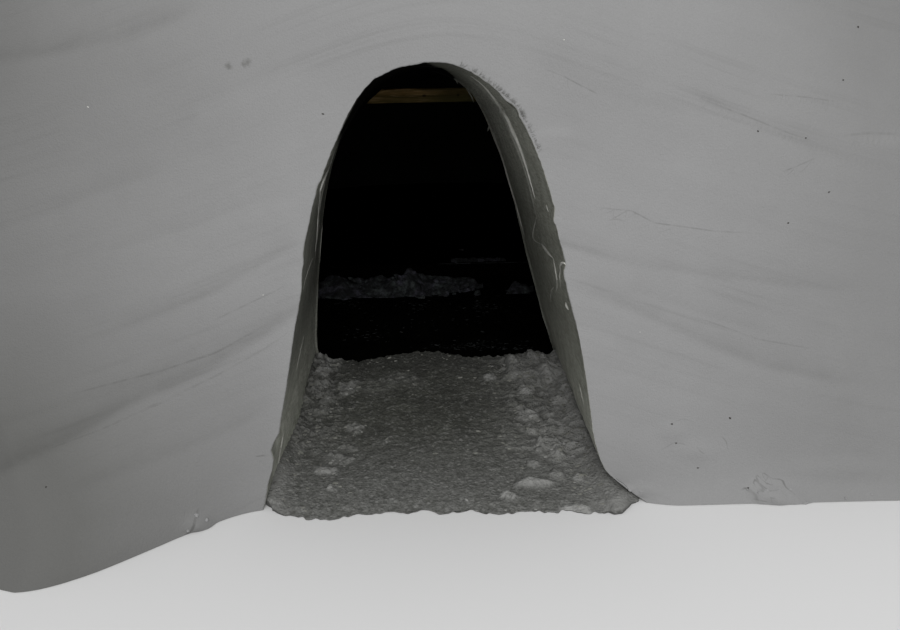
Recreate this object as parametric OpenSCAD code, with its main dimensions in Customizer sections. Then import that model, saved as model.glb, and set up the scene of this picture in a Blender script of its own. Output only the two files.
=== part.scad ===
// Igloo of packed snow: a domed shell with a shaved front face, an arched doorway cut through it,
// a trodden floor, a low timber-faced platform and one timber beam across the room.
// Origin at the centre of the base, doorway towards -Y, +Z up, millimetres.

/* [Dome] */
// Radius of the dome's outer surface at the ground, without its banked foot
outer_r = 4350; // [4150:10:5000]
// Height of the dome's outer surface at the crown
outer_h = 3400; // [3250:10:4000]
// Fullness of the outer dome's curve, 2 for an ellipse and more for a boxier one
outer_fullness = 2.3; // [2.2:0.1:3]
// Radius of the room at the ground
room_r = 2800; // [2600:10:3000]
// Height of the room under the crown
room_h = 2850; // [2750:10:3000]
// Fullness of the room's curve
room_fullness = 2.2; // [2:0.1:2.6]
// How far the banked foot reaches out from the dome
skirt_reach = 300; // [120:10:450]
// Height of the banked foot
skirt_h = 600; // [300:10:800]

/* [Lifts of snow] */
// Height of the joint between the lower and the middle lift
lower_joint_z = 950; // [800:10:1050]
// Height of the joint between the middle and the upper lift
middle_joint_z = 1900; // [1800:10:2000]
// Height of the crown piece, from its joint up to the top of the dome
crown_h = 780; // [650:10:900]

/* [Front face] */
// How far the shaved flat face lies inside the dome's radius, at the ground
face_setback = 300; // [150:10:400]
// Backward lean of the face, in degrees
face_lean = 6; // [2:0.5:8]

/* [Doorway] */
// Height of the doorway at its apex
door_h = 1570; // [1450:10:1700]
// Half of the width that the arch would have with upright sides
arch_half_w = 460; // [400:5:520]
// How much further each side stands out at the ground
foot_spread = 175; // [100:5:220]
// Squareness of the arch's shoulders
shoulder = 4; // [3:0.1:5]
// Roundness of the arch's crown
arch_round = 2.4; // [2:0.1:3]

/* [Floors] */
// Thickness of the passage's trodden floor at the outer end
passage_floor_low = 14; // [8:1:40]
// Thickness of the passage's trodden floor at the inner end
passage_floor_high = 90; // [60:5:140]
// Thickness of the room's trodden floor
room_floor_t = 40; // [20:5:55]

/* [Platform] */
// Distance of the platform's front edge before the room's centre
platform_front = 1200; // [800:10:1500]
// Height of the snow block under the deck
platform_base_h = 68; // [60:1:250]
// Thickness of the deck boards
deck_t = 28; // [18:1:45]
// Thickness of the board along the platform's front edge
edge_board_t = 32; // [20:1:50]
// How far the edge board stands above the deck
edge_board_lip = 14; // [5:1:30]
// Margin between the timber and the snow wall
timber_margin = 30; // [10:5:60]

/* [Beam] */
// Height of the beam's middle above the ground
beam_z = 1392; // [1300:1:1450]
// Distance of the beam behind the doorway's inner end, at the beam's height
beam_setback = 365; // [320:5:500]
// Depth of the beam, upright
beam_depth = 78; // [50:1:120]
// Width of the beam, front to back
beam_w = 50; // [35:1:80]
// Length of beam seated in the wall at each end
beam_seat = 150; // [80:5:220]

/* [Loose snow] */
// Width of the crumbled ridge along each side of the passage floor
ridge_w = 120; // [60:5:160]
// Height of the crumbled ridge above the passage floor
ridge_h = 55; // [25:5:80]
// Radius of the lumps on the room's floor
lump_r = 110; // [60:5:115]
// Distance between the lumps on the room's floor
lump_pitch = 240; // [235:5:270]
// Distance of the lumps before the room's centre
lump_y = 1480; // [1450:10:1900]
// Distance of the snow strip's left end from the doorway's middle
strip_x = 105; // [0:5:200]
// Length of the snow strip left on the deck
strip_length = 420; // [200:10:700]
// Height of the snow strip left on the deck
strip_h = 45; // [20:1:80]

/* [Foot banks] */
// Height of the bank of snow against the face, left of the doorway
left_bank_h = 300; // [200:10:340]
// Distance of the left bank's middle from the doorway's middle
left_bank_x = 1400; // [1360:10:1420]
// Distance of the left bank's middle behind the face, at the ground
left_bank_inset = 200; // [100:10:250]
// Height of the bank at the doorway's right foot
right_bank_h = 90; // [50:5:150]
// Radius of the bank at the doorway's right foot
right_bank_r = 220; // [150:5:240]
// Distance of the right bank's middle from the doorway's middle
right_bank_x = 900; // [880:10:1100]

/* [Hidden] */
// Clearance between pieces that are set against each other
fit = 0.3;
// Steps along each curve of the dome's section
curve_steps = 18;
// Steps up the banked foot
skirt_steps = 5;
// Steps up one side of the doorway's outline
door_steps = 16;
// Number of pieces round the lower and the middle lift
lift_pieces = 12;
// Number of pieces round the upper lift
upper_pieces = 6;
// Sides of the balls that the banks are cut from
ball_sides = 180;
// Number of lumps in the row on the room's floor
lump_count = 5;
// Share of a lump's radius that stands above the floor
lump_rise = 0.85;
// Share of the passage that the crumbled ridges lie along
ridge_share = 0.8;
// Share of the row of lumps that lies left of the doorway's middle
row_share = 0.7;
// Steps across a heap of snow
heap_steps = 10;
// Share of the room's radius at which the cut for the passage starts
cut_start = 0.75;
// How far the cut for the passage runs past the banked foot and below the ground
cut_past = 500;
cut_below = 200;

lift_angle = 360 / lift_pieces;
upper_angle = 360 / upper_pieces;
// Direction of the doorway, seen from above
door_angle = 270;
upper_joint_z = outer_h - crown_h;
face_y = outer_r - face_setback;
// The passage floor ends where the doorway's sides meet the room's round wall
threshold_y = sqrt(pow(room_r, 2) - pow(door_half(0), 2));
far = 2 * (outer_r + skirt_reach);
// The passage is cut from inside the room to beyond the banked foot
passage_from = room_r * cut_start;
passage_length = outer_r + skirt_reach - passage_from + cut_past;
deck_z = room_floor_t + platform_base_h;
deck_top = deck_z + deck_t;
beam_low = beam_z - beam_depth / 2;
platform_r = dome_radius(deck_top, room_r, room_h, room_fullness) - timber_margin;
room_r_at_beam = dome_radius(beam_z, room_r, room_h, room_fullness);
beam_y = room_r_at_beam - beam_setback;
beam_half = sqrt(pow(room_r_at_beam, 2) - pow(beam_y, 2)) + beam_seat;
bank_reach = outer_r + skirt_reach;
left_bank_y = face_y - left_bank_inset;
left_bank_r = bank_reach - left_bank_y;

lower_names = ["door_jamb_right", "lower_wall_right_1", "lower_wall_right_2", "lower_wall_right_3",
    "lower_wall_right_4", "lower_wall_back_right", "lower_wall_back_left", "lower_wall_left_4",
    "lower_wall_left_3", "lower_wall_left_2", "lower_wall_left_1", "door_jamb_left"];
middle_names = ["door_arch_right", "middle_wall_right_1", "middle_wall_right_2", "middle_wall_right_3",
    "middle_wall_right_4", "middle_wall_back_right", "middle_wall_back_left", "middle_wall_left_4",
    "middle_wall_left_3", "middle_wall_left_2", "middle_wall_left_1", "door_arch_left"];
upper_names = ["upper_wall_front_right", "upper_wall_right", "upper_wall_back_right",
    "upper_wall_back_left", "upper_wall_left", "upper_wall_front_left"];

// Radius of a domed surface at a height
function dome_radius(z, radius, height, fullness) =
    radius * pow(max(0, 1 - pow(z / height, fullness)), 1 / fullness);

// How far the banked foot stands out at a height
function skirt(z) = z < skirt_h ? skirt_reach * pow(1 - z / skirt_h, 2) : 0;

// Heights of the section's points, closer together towards the crown
function outer_heights() = concat(
    [for (i = [0 : skirt_steps - 1]) skirt_h * i / skirt_steps],
    [for (i = [0 : curve_steps]) skirt_h + (outer_h - skirt_h) * sin(90 * i / curve_steps)]);
function outer_points() =
    [for (z = outer_heights()) [dome_radius(z, outer_r, outer_h, outer_fullness) + skirt(z), z]];
function room_points() = [for (i = [curve_steps : -1 : 0]) let (z = room_h * sin(90 * i / curve_steps))
    [dome_radius(z, room_r, room_h, room_fullness), z]];

// Whether a piece of a lift can meet the doorway, the shaved face or the beam
function is_front(index) = index <= 1 || index >= lift_pieces - 2;

// Half width of the doorway at a height
function door_half(z) = let (share = z / door_h)
    arch_half_w * pow(max(0, 1 - pow(share, shoulder)), 1 / arch_round) + foot_spread * pow(1 - share, 2);

// One side of the doorway's outline, from the ground to the apex
function door_side(side, gap) = [for (i = [0 : door_steps - 1]) let (z = door_h * sin(90 * i / door_steps))
    [side * (door_half(z) - gap), z]];
function reversed(points) = [for (i = [len(points) - 1 : -1 : 0]) points[i]];

module passage(gap = 0) {
    outline = concat([[-door_half(0) + gap, -cut_below], [door_half(0) - gap, -cut_below]],
        door_side(1, gap), [[0, door_h - gap]], reversed(door_side(-1, gap)));
    translate([0, -passage_from, 0]) rotate([90, 0, 0]) linear_extrude(passage_length) polygon(outline);
}

module before_face() {
    translate([0, -face_y, 0]) rotate([-face_lean, 0, 0])
        translate([-far / 2, -far, -far / 2]) cube([far, far, far]);
}

module wall_section(low, high) {
    intersection() {
        polygon(concat(outer_points(), room_points()));
        translate([0, low]) square([far, high - low]);
    }
}

// One piece of a lift, counted from the doorway round to the right
module wall_piece(low, high, angle, index) {
    rotate_extrude(angle = angle, start = door_angle + angle * index) wall_section(low, high);
}

module front_piece(low, high, index) {
    difference() {
        wall_piece(low, high, lift_angle, index);
        passage();
        before_face();
    }
}

module lower_wall(index) {
    color("gainsboro")
        if (is_front(index))
            front_piece(0, lower_joint_z, index);
        else
            wall_piece(0, lower_joint_z, lift_angle, index);
}

module middle_wall(index) {
    color("whitesmoke")
        if (is_front(index))
            difference() {
                front_piece(lower_joint_z, middle_joint_z, index);
                beam_shape(fit);
            }
        else
            wall_piece(lower_joint_z, middle_joint_z, lift_angle, index);
}

module upper_wall(index) {
    color("gainsboro")
        if (index == 0 || index == upper_pieces - 1)
            difference() {
                wall_piece(middle_joint_z, upper_joint_z, upper_angle, index);
                before_face();
            }
        else
            wall_piece(middle_joint_z, upper_joint_z, upper_angle, index);
}

module crown() {
    color("whitesmoke") rotate_extrude() wall_section(upper_joint_z, outer_h);
}

// Wedge that rises from the outer end of the passage to the threshold of the room
module floor_wedge(base = 0, raise = 0) {
    translate([-far / 2, 0, 0]) rotate([90, 0, 90]) linear_extrude(far)
        polygon([[-face_y, base], [-threshold_y, base], [-threshold_y, passage_floor_high + raise],
            [-room_r, passage_floor_high + raise], [-face_y, passage_floor_low + raise]]);
}

module passage_floor() {
    color("silver") intersection() {
        passage(fit);
        difference() {
            floor_wedge();
            before_face();
        }
    }
}

module room_floor() {
    color("dimgray") intersection() {
        cylinder(h = room_floor_t, r = room_r - fit);
        translate([-far / 2, fit - threshold_y, -1]) cube([far, far, room_floor_t + 2]);
    }
}

// Plan of what lies behind the platform's front edge
module platform_plan(radius, setback) {
    intersection() {
        circle(r = radius);
        translate([-far / 2, setback - platform_front]) square([far, far]);
    }
}

module platform_snow_base() {
    color("lightgray") translate([0, 0, room_floor_t])
        linear_extrude(platform_base_h) platform_plan(platform_r, edge_board_t + fit);
}

module platform_deck() {
    color("saddlebrown") translate([0, 0, deck_z])
        linear_extrude(deck_t) platform_plan(platform_r, edge_board_t + fit);
}

module platform_edge_board() {
    half = sqrt(platform_r * platform_r - platform_front * platform_front);
    color("sienna") translate([-half, -platform_front, room_floor_t])
        cube([2 * half, edge_board_t, platform_base_h + deck_t + edge_board_lip]);
}

module beam_shape(gap) {
    translate([-beam_half - gap, -beam_y - beam_w / 2 - gap, beam_low - gap])
        cube([2 * (beam_half + gap), beam_w + 2 * gap, beam_depth + 2 * gap]);
}

module cross_beam() {
    color("peru") beam_shape(0);
}

// Half-round heap, lying along Y on the sloping passage floor
module passage_ridge(side) {
    run = (face_y - room_r) * ridge_share;
    middle_y = (face_y + room_r) / 2;
    intersection() {
        passage(fit);
        translate([side * (door_half(0) - ridge_w / 2), -middle_y + run / 2, 0])
            rotate([90, 0, 0]) linear_extrude(run)
                heap_outline(ridge_w, passage_floor_high + ridge_h);
        difference() {
            translate([-far / 2, -middle_y - run / 2, 0]) cube([far, run, far]);
            floor_wedge(-1, fit);
        }
    }
}

// Outline of a heap of snow: a low arch with its foot on the axis
module heap_outline(width, height) {
    polygon([for (i = [0 : heap_steps]) let (angle = 180 * i / heap_steps)
        [width / 2 * cos(angle), height * sin(angle)]]);
}

module passage_snow_left() {
    color("white") passage_ridge(-1);
}

module passage_snow_right() {
    color("white") passage_ridge(1);
}

module room_snow_lumps() {
    first_x = -lump_pitch * (lump_count - 1) * row_share;
    color("white") translate([0, 0, room_floor_t + fit]) for (i = [0 : lump_count - 1])
        translate([first_x + lump_pitch * i, -lump_y, 0]) intersection() {
            translate([0, 0, (lump_rise - 1) * lump_r]) sphere(r = lump_r);
            translate([-lump_r, -lump_r, 0]) cube([2 * lump_r, 2 * lump_r, 2 * lump_r]);
        }
}

module platform_snow_strip() {
    behind = edge_board_t + 2 * strip_h;
    color("white") translate([strip_x, -platform_front + behind, deck_top + fit])
        rotate([90, 0, 90]) linear_extrude(strip_length) heap_outline(2 * strip_h, strip_h);
}

// A bank is the cap of a ball, with its radius at the ground
module foot_bank(x, y, height, radius) {
    ball_r = (radius * radius + height * height) / (2 * height);
    color("whitesmoke") intersection() {
        translate([x, -y, height - ball_r]) sphere(r = ball_r, $fn = ball_sides);
        translate([-far, -far, 0]) cube([2 * far, 2 * far, far]);
        before_face();
    }
}

for (i = [0 : lift_pieces - 1]) {
    lower_wall(i);
    middle_wall(i);
}
for (i = [0 : upper_pieces - 1])
    upper_wall(i);
crown();
passage_floor();
room_floor();
platform_snow_base();
platform_deck();
platform_edge_board();
cross_beam();
passage_snow_left();
passage_snow_right();
room_snow_lumps();
platform_snow_strip();
foot_bank(-left_bank_x, left_bank_y, left_bank_h, left_bank_r);  // foot_bank_left
foot_bank(right_bank_x, face_y, right_bank_h, right_bank_r);  // foot_bank_right
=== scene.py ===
import math
import bmesh
import bpy
import numpy as np
from mathutils import Matrix, Vector
from mathutils.bvhtree import BVHTree


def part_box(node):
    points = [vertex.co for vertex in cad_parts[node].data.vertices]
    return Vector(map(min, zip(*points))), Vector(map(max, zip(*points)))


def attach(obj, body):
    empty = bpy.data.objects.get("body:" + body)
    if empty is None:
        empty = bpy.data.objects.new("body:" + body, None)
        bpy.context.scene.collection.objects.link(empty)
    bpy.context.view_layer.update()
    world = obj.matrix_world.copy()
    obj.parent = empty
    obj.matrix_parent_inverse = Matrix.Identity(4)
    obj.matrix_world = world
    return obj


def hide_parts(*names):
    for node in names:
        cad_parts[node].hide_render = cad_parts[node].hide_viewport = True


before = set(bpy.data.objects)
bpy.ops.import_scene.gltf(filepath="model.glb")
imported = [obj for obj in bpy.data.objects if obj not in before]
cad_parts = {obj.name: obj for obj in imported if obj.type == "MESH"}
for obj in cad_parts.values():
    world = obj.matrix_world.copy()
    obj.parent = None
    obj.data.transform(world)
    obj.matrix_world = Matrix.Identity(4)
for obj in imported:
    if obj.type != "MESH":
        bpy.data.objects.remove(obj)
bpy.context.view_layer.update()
print("frame loaded")

# Camera, at the eye of someone who stands before the doorway
photo = {"width": 900, "height": 630}
eye = {"place": (0.02, -6.32, 1.55), "lens": 28.4, "sensor": 36.0, "down": 19.4, "right": 0.8, "roll": -1.0}
eyeTurn = (Matrix.Rotation(-math.radians(eye["right"]), 4, "Z")
           @ Matrix.Rotation(math.radians(90 - eye["down"]), 4, "X")
           @ Matrix.Rotation(math.radians(eye["roll"]), 4, "Z"))
focal = eye["lens"] / eye["sensor"] * photo["width"]  # in pixels


def placeObject(name, data):
    thing = bpy.data.objects.new(name, data)
    bpy.context.scene.collection.objects.link(thing)
    return thing


def makeCamera():
    lens = bpy.data.cameras.new("camera")
    lens.lens = eye["lens"]
    lens.sensor_width = eye["sensor"]
    lens.clip_end = 200
    camera = placeObject("camera", lens)
    camera.matrix_world = Matrix.Translation(eye["place"]) @ eyeTurn
    bpy.context.scene.camera = camera


def pixelRay(pixel):
    across = (pixel[0] - photo["width"] / 2) / focal
    up = (photo["height"] / 2 - pixel[1]) / focal
    return Vector(eye["place"]), (eyeTurn.to_3x3() @ Vector((across, up, -1))).normalized()


def onPlane(pixel, axis, level):
    place, way = pixelRay(pixel)
    return place + way * ((level - place[axis]) / way[axis])


def toPixels(points):
    turned = (points - np.array(eye["place"])) @ np.array(eyeTurn.to_3x3())
    across = photo["width"] / 2 + focal * turned[..., 0] / -turned[..., 2]
    down = photo["height"] / 2 - focal * turned[..., 1] / -turned[..., 2]
    return np.stack([across, down], axis=-1)


def pixelSize(points):  # in metres, at each point
    return np.linalg.norm(points - np.array(eye["place"]), axis=-1) / focal


makeCamera()


# Nodes: an output of a node is a Wire, which + - and * join to numbers, vectors and other outputs
class Wire:
    def __init__(self, socket):
        self.socket = socket
        self.tree = socket.id_data

    def __add__(self, other):
        return joined("ADD", self, other)

    def __sub__(self, other):
        return joined("SUBTRACT", self, other)

    def __rsub__(self, other):
        return joined("SUBTRACT", other, self)

    def __mul__(self, other):
        return joined("MULTIPLY", self, other)

    def orMore(self, other):
        return joined("MAXIMUM", self, other)

    def power(self, other):
        return joined("POWER", self, other)

    def parts(self):
        split = Node(self.tree, "ShaderNodeSeparateXYZ", {0: self})
        return split["X"], split["Y"], split["Z"]

    def span(self, low, high, toLow=0.0, toHigh=1.0, smooth=False):
        ends = {"Value": self, "From Min": low, "From Max": high, "To Min": toLow, "To Max": toHigh}
        kind = "SMOOTHSTEP" if smooth else "LINEAR"
        return Node(self.tree, "ShaderNodeMapRange", ends, interpolation_type=kind)[0]


class Node:
    def __init__(self, tree, kind, inputs=(), **settings):
        self.node = tree.nodes.new(kind)
        for label, value in settings.items():
            setattr(self.node, label, value)
        for label, value in dict(inputs).items():
            feed(self.node.inputs[label], value)

    def __getitem__(self, label):
        return Wire(self.node.outputs[label])


def feed(socket, value):
    if isinstance(value, Wire):
        socket.id_data.links.new(value.socket, socket)
    else:
        socket.default_value = (*value, 1) if socket.type == "RGBA" else value


def isVector(value):
    return value.socket.type in ("VECTOR", "RGBA") if isinstance(value, Wire) else isinstance(value, tuple)


def joined(operation, first, second):
    tree = (first if isinstance(first, Wire) else second).tree
    if not isVector(first):
        return Node(tree, "ShaderNodeMath", {0: first, 1: second}, operation=operation)[0]
    if operation == "MULTIPLY" and not isVector(second):
        return Node(tree, "ShaderNodeVectorMath", {0: first, "Scale": second}, operation="SCALE")[0]
    return Node(tree, "ShaderNodeVectorMath", {0: first, 1: second}, operation=operation)[0]


def vectorOf(tree, x=0.0, y=0.0, z=0.0):
    return Node(tree, "ShaderNodeCombineXYZ", {"X": x, "Y": y, "Z": z})[0]


def noise(vector, scale, detail=2.0, roughness=0.5, seed=None):
    inputs = {"Vector": vector, "Scale": scale, "Detail": detail, "Roughness": roughness}
    if seed is not None:
        inputs["W"] = seed
    return Node(vector.tree, "ShaderNodeTexNoise", inputs, noise_dimensions="3D" if seed is None else "4D")[0]


def lineNoise(value, scale, detail=2.0):
    return Node(value.tree, "ShaderNodeTexNoise", {"W": value, "Scale": scale, "Detail": detail},
                noise_dimensions="1D")[0]


def centredNoise(vector, scale, depth, detail=2.0, seed=None, roughness=0.5):
    return (noise(vector, scale, detail, roughness, seed) - 0.5) * (depth * 2.0)


def noiseVector(place, scale):
    colour = Node(place.tree, "ShaderNodeTexNoise", {"Vector": place, "Scale": scale})["Color"]
    return colour - (0.5, 0.5, 0.5)


def bent(place, scale, reach=0.02):
    return place + noiseVector(place, scale) * reach


def mixColour(share, first, second, blend="MIX"):
    return Node(share.tree, "ShaderNodeMix", {0: share, 6: first, 7: second},
                data_type="RGBA", blend_type=blend)[2]


def newTree(name, kind, inputs, outputs):
    tree = bpy.data.node_groups.new(name, kind)
    for way, sockets in (("INPUT", inputs), ("OUTPUT", outputs)):
        for label, socket in sockets.items():
            tree.interface.new_socket(label, in_out=way, socket_type="NodeSocket" + socket)
    return tree, Node(tree, "NodeGroupInput")


def geometryTree(name, inputs):
    return newTree(name, "GeometryNodeTree", {"Geometry": "Geometry", **inputs}, {"Geometry": "Geometry"})


def namedValue(tree, label, kind="FLOAT"):
    return Node(tree, "GeometryNodeInputNamedAttribute", {"Name": label}, data_type=kind)["Attribute"]


def storeField(geometry, label, value):
    return Node(geometry.tree, "GeometryNodeStoreNamedAttribute",
                {"Geometry": geometry, "Name": label, "Value": value}, data_type="FLOAT", domain="POINT")[0]


def movePoints(geometry, offset):
    return Node(geometry.tree, "GeometryNodeSetPosition", {"Geometry": geometry, "Offset": offset})[0]


def position(tree):
    return Node(tree, "GeometryNodeInputPosition")[0]


def finishTree(geometry, material, smooth=True):
    tree = geometry.tree
    whole = Node(tree, "GeometryNodeRealizeInstances", {0: geometry})[0]
    shade = Node(tree, "GeometryNodeSetShadeSmooth", {0: whole, "Shade Smooth": smooth})[0]
    paint = Node(tree, "GeometryNodeSetMaterial", {"Geometry": shade, "Material": material})[0]
    Node(tree, "NodeGroupOutput", {0: paint})
    return tree


def applyTree(thing, tree, values):
    modifier = thing.modifiers.new(tree.name, "NODES")
    modifier.node_group = tree
    for item in tree.interface.items_tree:
        if item.in_out == "INPUT" and item.name in values:
            modifier[item.identifier] = values[item.name]
    view = bpy.context.view_layer.depsgraph
    view.update()
    old = thing.data
    thing.data = bpy.data.meshes.new_from_object(thing.evaluated_get(view), preserve_all_data_layers=True,
                                                 depsgraph=view)
    thing.modifiers.remove(modifier)
    thing.data.name = thing.name
    bpy.data.meshes.remove(old)


# Meshes
def meshObject(name, vertices, faces, edges=(), smooth=True):
    mesh = bpy.data.meshes.new(name)
    mesh.from_pydata([tuple(v) for v in vertices], edges, faces)
    mesh.update()
    mesh.polygons.foreach_set("use_smooth", [smooth] * len(mesh.polygons))
    return placeObject(name, mesh)


def storeValues(thing, name, values):
    isField = values.ndim == 2
    attribute = thing.data.attributes.new(name, "FLOAT_VECTOR" if isField else "FLOAT", "POINT")
    attribute.data.foreach_set("vector" if isField else "value", values.astype(np.float32).ravel())


def handOver(piece, slot, *nodes):
    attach(piece, "root")
    if nodes:
        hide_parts(*nodes)
    print(piece.name, "built,", len(piece.data.polygons), "faces")


# Materials
def newMaterial(name, roughness, sheen=0.5):
    material = bpy.data.materials.new(name)
    material.use_nodes = True
    surface = material.node_tree.nodes["Principled BSDF"].inputs
    feed(surface["Roughness"], roughness)
    feed(surface["Specular IOR Level"], sheen)
    return material, surface, Node(material.node_tree, "ShaderNodeTexCoord")["Object"]


def bumpTo(surface, height, distance):
    feed(surface["Normal"], Node(height.tree, "ShaderNodeBump", {"Height": height, "Distance": distance,
                                                                 "Strength": 1.0})["Normal"])


def makeSnowGrain():
    scales = {"Cloud Scale": "Float", "Grain Scale": "Float", "Pit Scale": "Float"}
    tree, get = newTree("snowGrain", "ShaderNodeTree", {"Vector": "Vector", **scales},
                        {"Cloud": "Float", "Height": "Float"})
    cloud = noise(get["Vector"], get["Cloud Scale"], 4.0, 0.55)
    grain = noise(get["Vector"], get["Grain Scale"], 5.0, 0.65)
    cells = Node(tree, "ShaderNodeTexVoronoi", {"Vector": get["Vector"], "Scale": get["Pit Scale"]})
    pits = cells["Distance"].span(0.0, 0.7, 0.0, 0.5)
    Node(tree, "NodeGroupOutput", {"Cloud": cloud.span(0.3, 0.7), "Height": grain + pits})
    return tree


snowGrain = makeSnowGrain()
# Kinds of snow: light and dark tone, scales of clouds, grain and pits, depth of the grain, roughness, sheen
snowKinds = {
    "windPackedSnow": ((0.284, 0.284, 0.285), (0.258, 0.258, 0.259), (1.3, 90.0, 160.0), 0.0012, 0.85, 0.5),
    "carvedSnow": ((0.370, 0.377, 0.330), (0.315, 0.322, 0.280), (3.0, 70.0, 120.0), 0.0010, 0.75, 0.5),
    "troddenSnow": ((0.078, 0.080, 0.067), (0.032, 0.033, 0.027), (9.0, 60.0, 95.0), 0.0060, 0.85, 0.5),
    # Painted shade: roomSnow, roomLooseSnow, darkFloor and chipSnow are near black, standing in for the shade
    # of the unlit room; darkFloor is partly also a darker ground
    "roomSnow": ((0.060, 0.062, 0.060), (0.040, 0.042, 0.040), (2.0, 60.0, 90.0), 0.0020, 0.85, 0.1),
    "roomLooseSnow": ((0.076, 0.090, 0.088), (0.006, 0.007, 0.008), (16.0, 120.0, 200.0), 0.0030, 0.85, 0.5),
    "darkFloor": ((0.0026, 0.0026, 0.0020), (0.0012, 0.0012, 0.0010), (5.0, 90.0, 140.0), 0.0040, 0.85, 0.0),
    "looseSnow": ((0.295, 0.295, 0.285), (0.185, 0.185, 0.172), (14.0, 220.0, 300.0), 0.0015, 0.85, 0.5),
    "glintSnow": ((0.62, 0.62, 0.58), (0.50, 0.50, 0.46), (20.0, 200.0, 300.0), 0.0010, 0.85, 0.5),
    "chipSnow": ((0.026, 0.028, 0.028), (0.010, 0.011, 0.011), (30.0, 220.0, 300.0), 0.0010, 0.85, 0.1),
    "footSnow": ((0.284, 0.284, 0.285), (0.258, 0.258, 0.259), (20.0, 200.0, 300.0), 0.0010, 0.85, 0.5),
    # crestSnow is painted far lighter than the wall: the highlight on the ridges and the crystals
    "crestSnow": ((0.80, 0.80, 0.75), (0.60, 0.60, 0.56), (20.0, 200.0, 300.0), 0.0010, 0.85, 0.5),
    "curlSnow": ((0.50, 0.50, 0.46), (0.36, 0.36, 0.33), (20.0, 200.0, 300.0), 0.0010, 0.85, 0.5),
    # frostHair is painted darker than frost, for the shadow its needles show against the wall
    "frostHair": ((0.21, 0.21, 0.20), (0.15, 0.15, 0.14), (20.0, 200.0, 300.0), 0.0010, 0.85, 0.5),
    "crumbSnow": ((0.21, 0.21, 0.19), (0.115, 0.116, 0.10), (30.0, 220.0, 300.0), 0.0010, 0.85, 0.5),
    "gritStone": ((0.030, 0.026, 0.022), (0.015, 0.013, 0.011), (90.0, 300.0, 500.0), 0.0005, 0.85, 0.5),
}
# Tones of the marks on the wall and in the passage. All but paleLine, lit, gloom and crest darken the snow.
# The fold, dim, apex, corner and gloom tones are painted shade, the foot tone is painted shade and dirtier
# snow, and lit and crest are painted light
wallTones = {"layer": (0.80, 0.80, 0.80), "foot": (0.44, 0.44, 0.42), "stripe": (0.80, 0.80, 0.795),
             "fold": (0.78, 0.78, 0.775), "crack": (0.62, 0.62, 0.61), "smudge": (0.66, 0.66, 0.64),
             "paleLine": (0.365, 0.365, 0.366)}
carvedTones = {"lit": (0.900, 0.915, 0.825), "gloom": (0.008, 0.008, 0.007), "crest": (0.80, 0.80, 0.75),
               "dim": (0.52, 0.52, 0.52), "apex": (0.30, 0.30, 0.28), "corner": (0.50, 0.52, 0.48),
               "streak": (0.70, 0.70, 0.68), "speck": (0.62, 0.62, 0.60)}
# Painted light at the passage floor's open front, painted shade deep inside
troddenLightAndShade = {"front": (0.128, 0.129, 0.122), "deep": (0.022, 0.022, 0.019)}
heapTint = (0.078, 0.076, 0.100)


def makeSnow(name):
    light, shade, scales, grainDepth, roughness, sheen = snowKinds[name]
    material, surface, place = newMaterial(name, roughness, sheen)
    inputs = dict(zip(("Vector", "Cloud Scale", "Grain Scale", "Pit Scale"), (place, *scales)))
    grain = Node(place.tree, "ShaderNodeGroup", inputs, node_tree=snowGrain)
    bumpTo(surface, grain["Height"], grainDepth)
    colour = mixColour(grain["Cloud"], shade, light)
    feed(surface["Base Color"], colour)
    return material, surface, place, colour


def surfaceValue(place, label):
    return Node(place.tree, "ShaderNodeAttribute", attribute_name=label)["Fac"]


def darken(share, colour, tone):
    return mixColour(share, colour, tone, "MULTIPLY")


def spotAt(place, middle, size, core):
    away = Node(place.tree, "ShaderNodeVectorMath", {0: place, 1: middle}, operation="DISTANCE")["Value"]
    return away.span(size, size * core)


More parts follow.
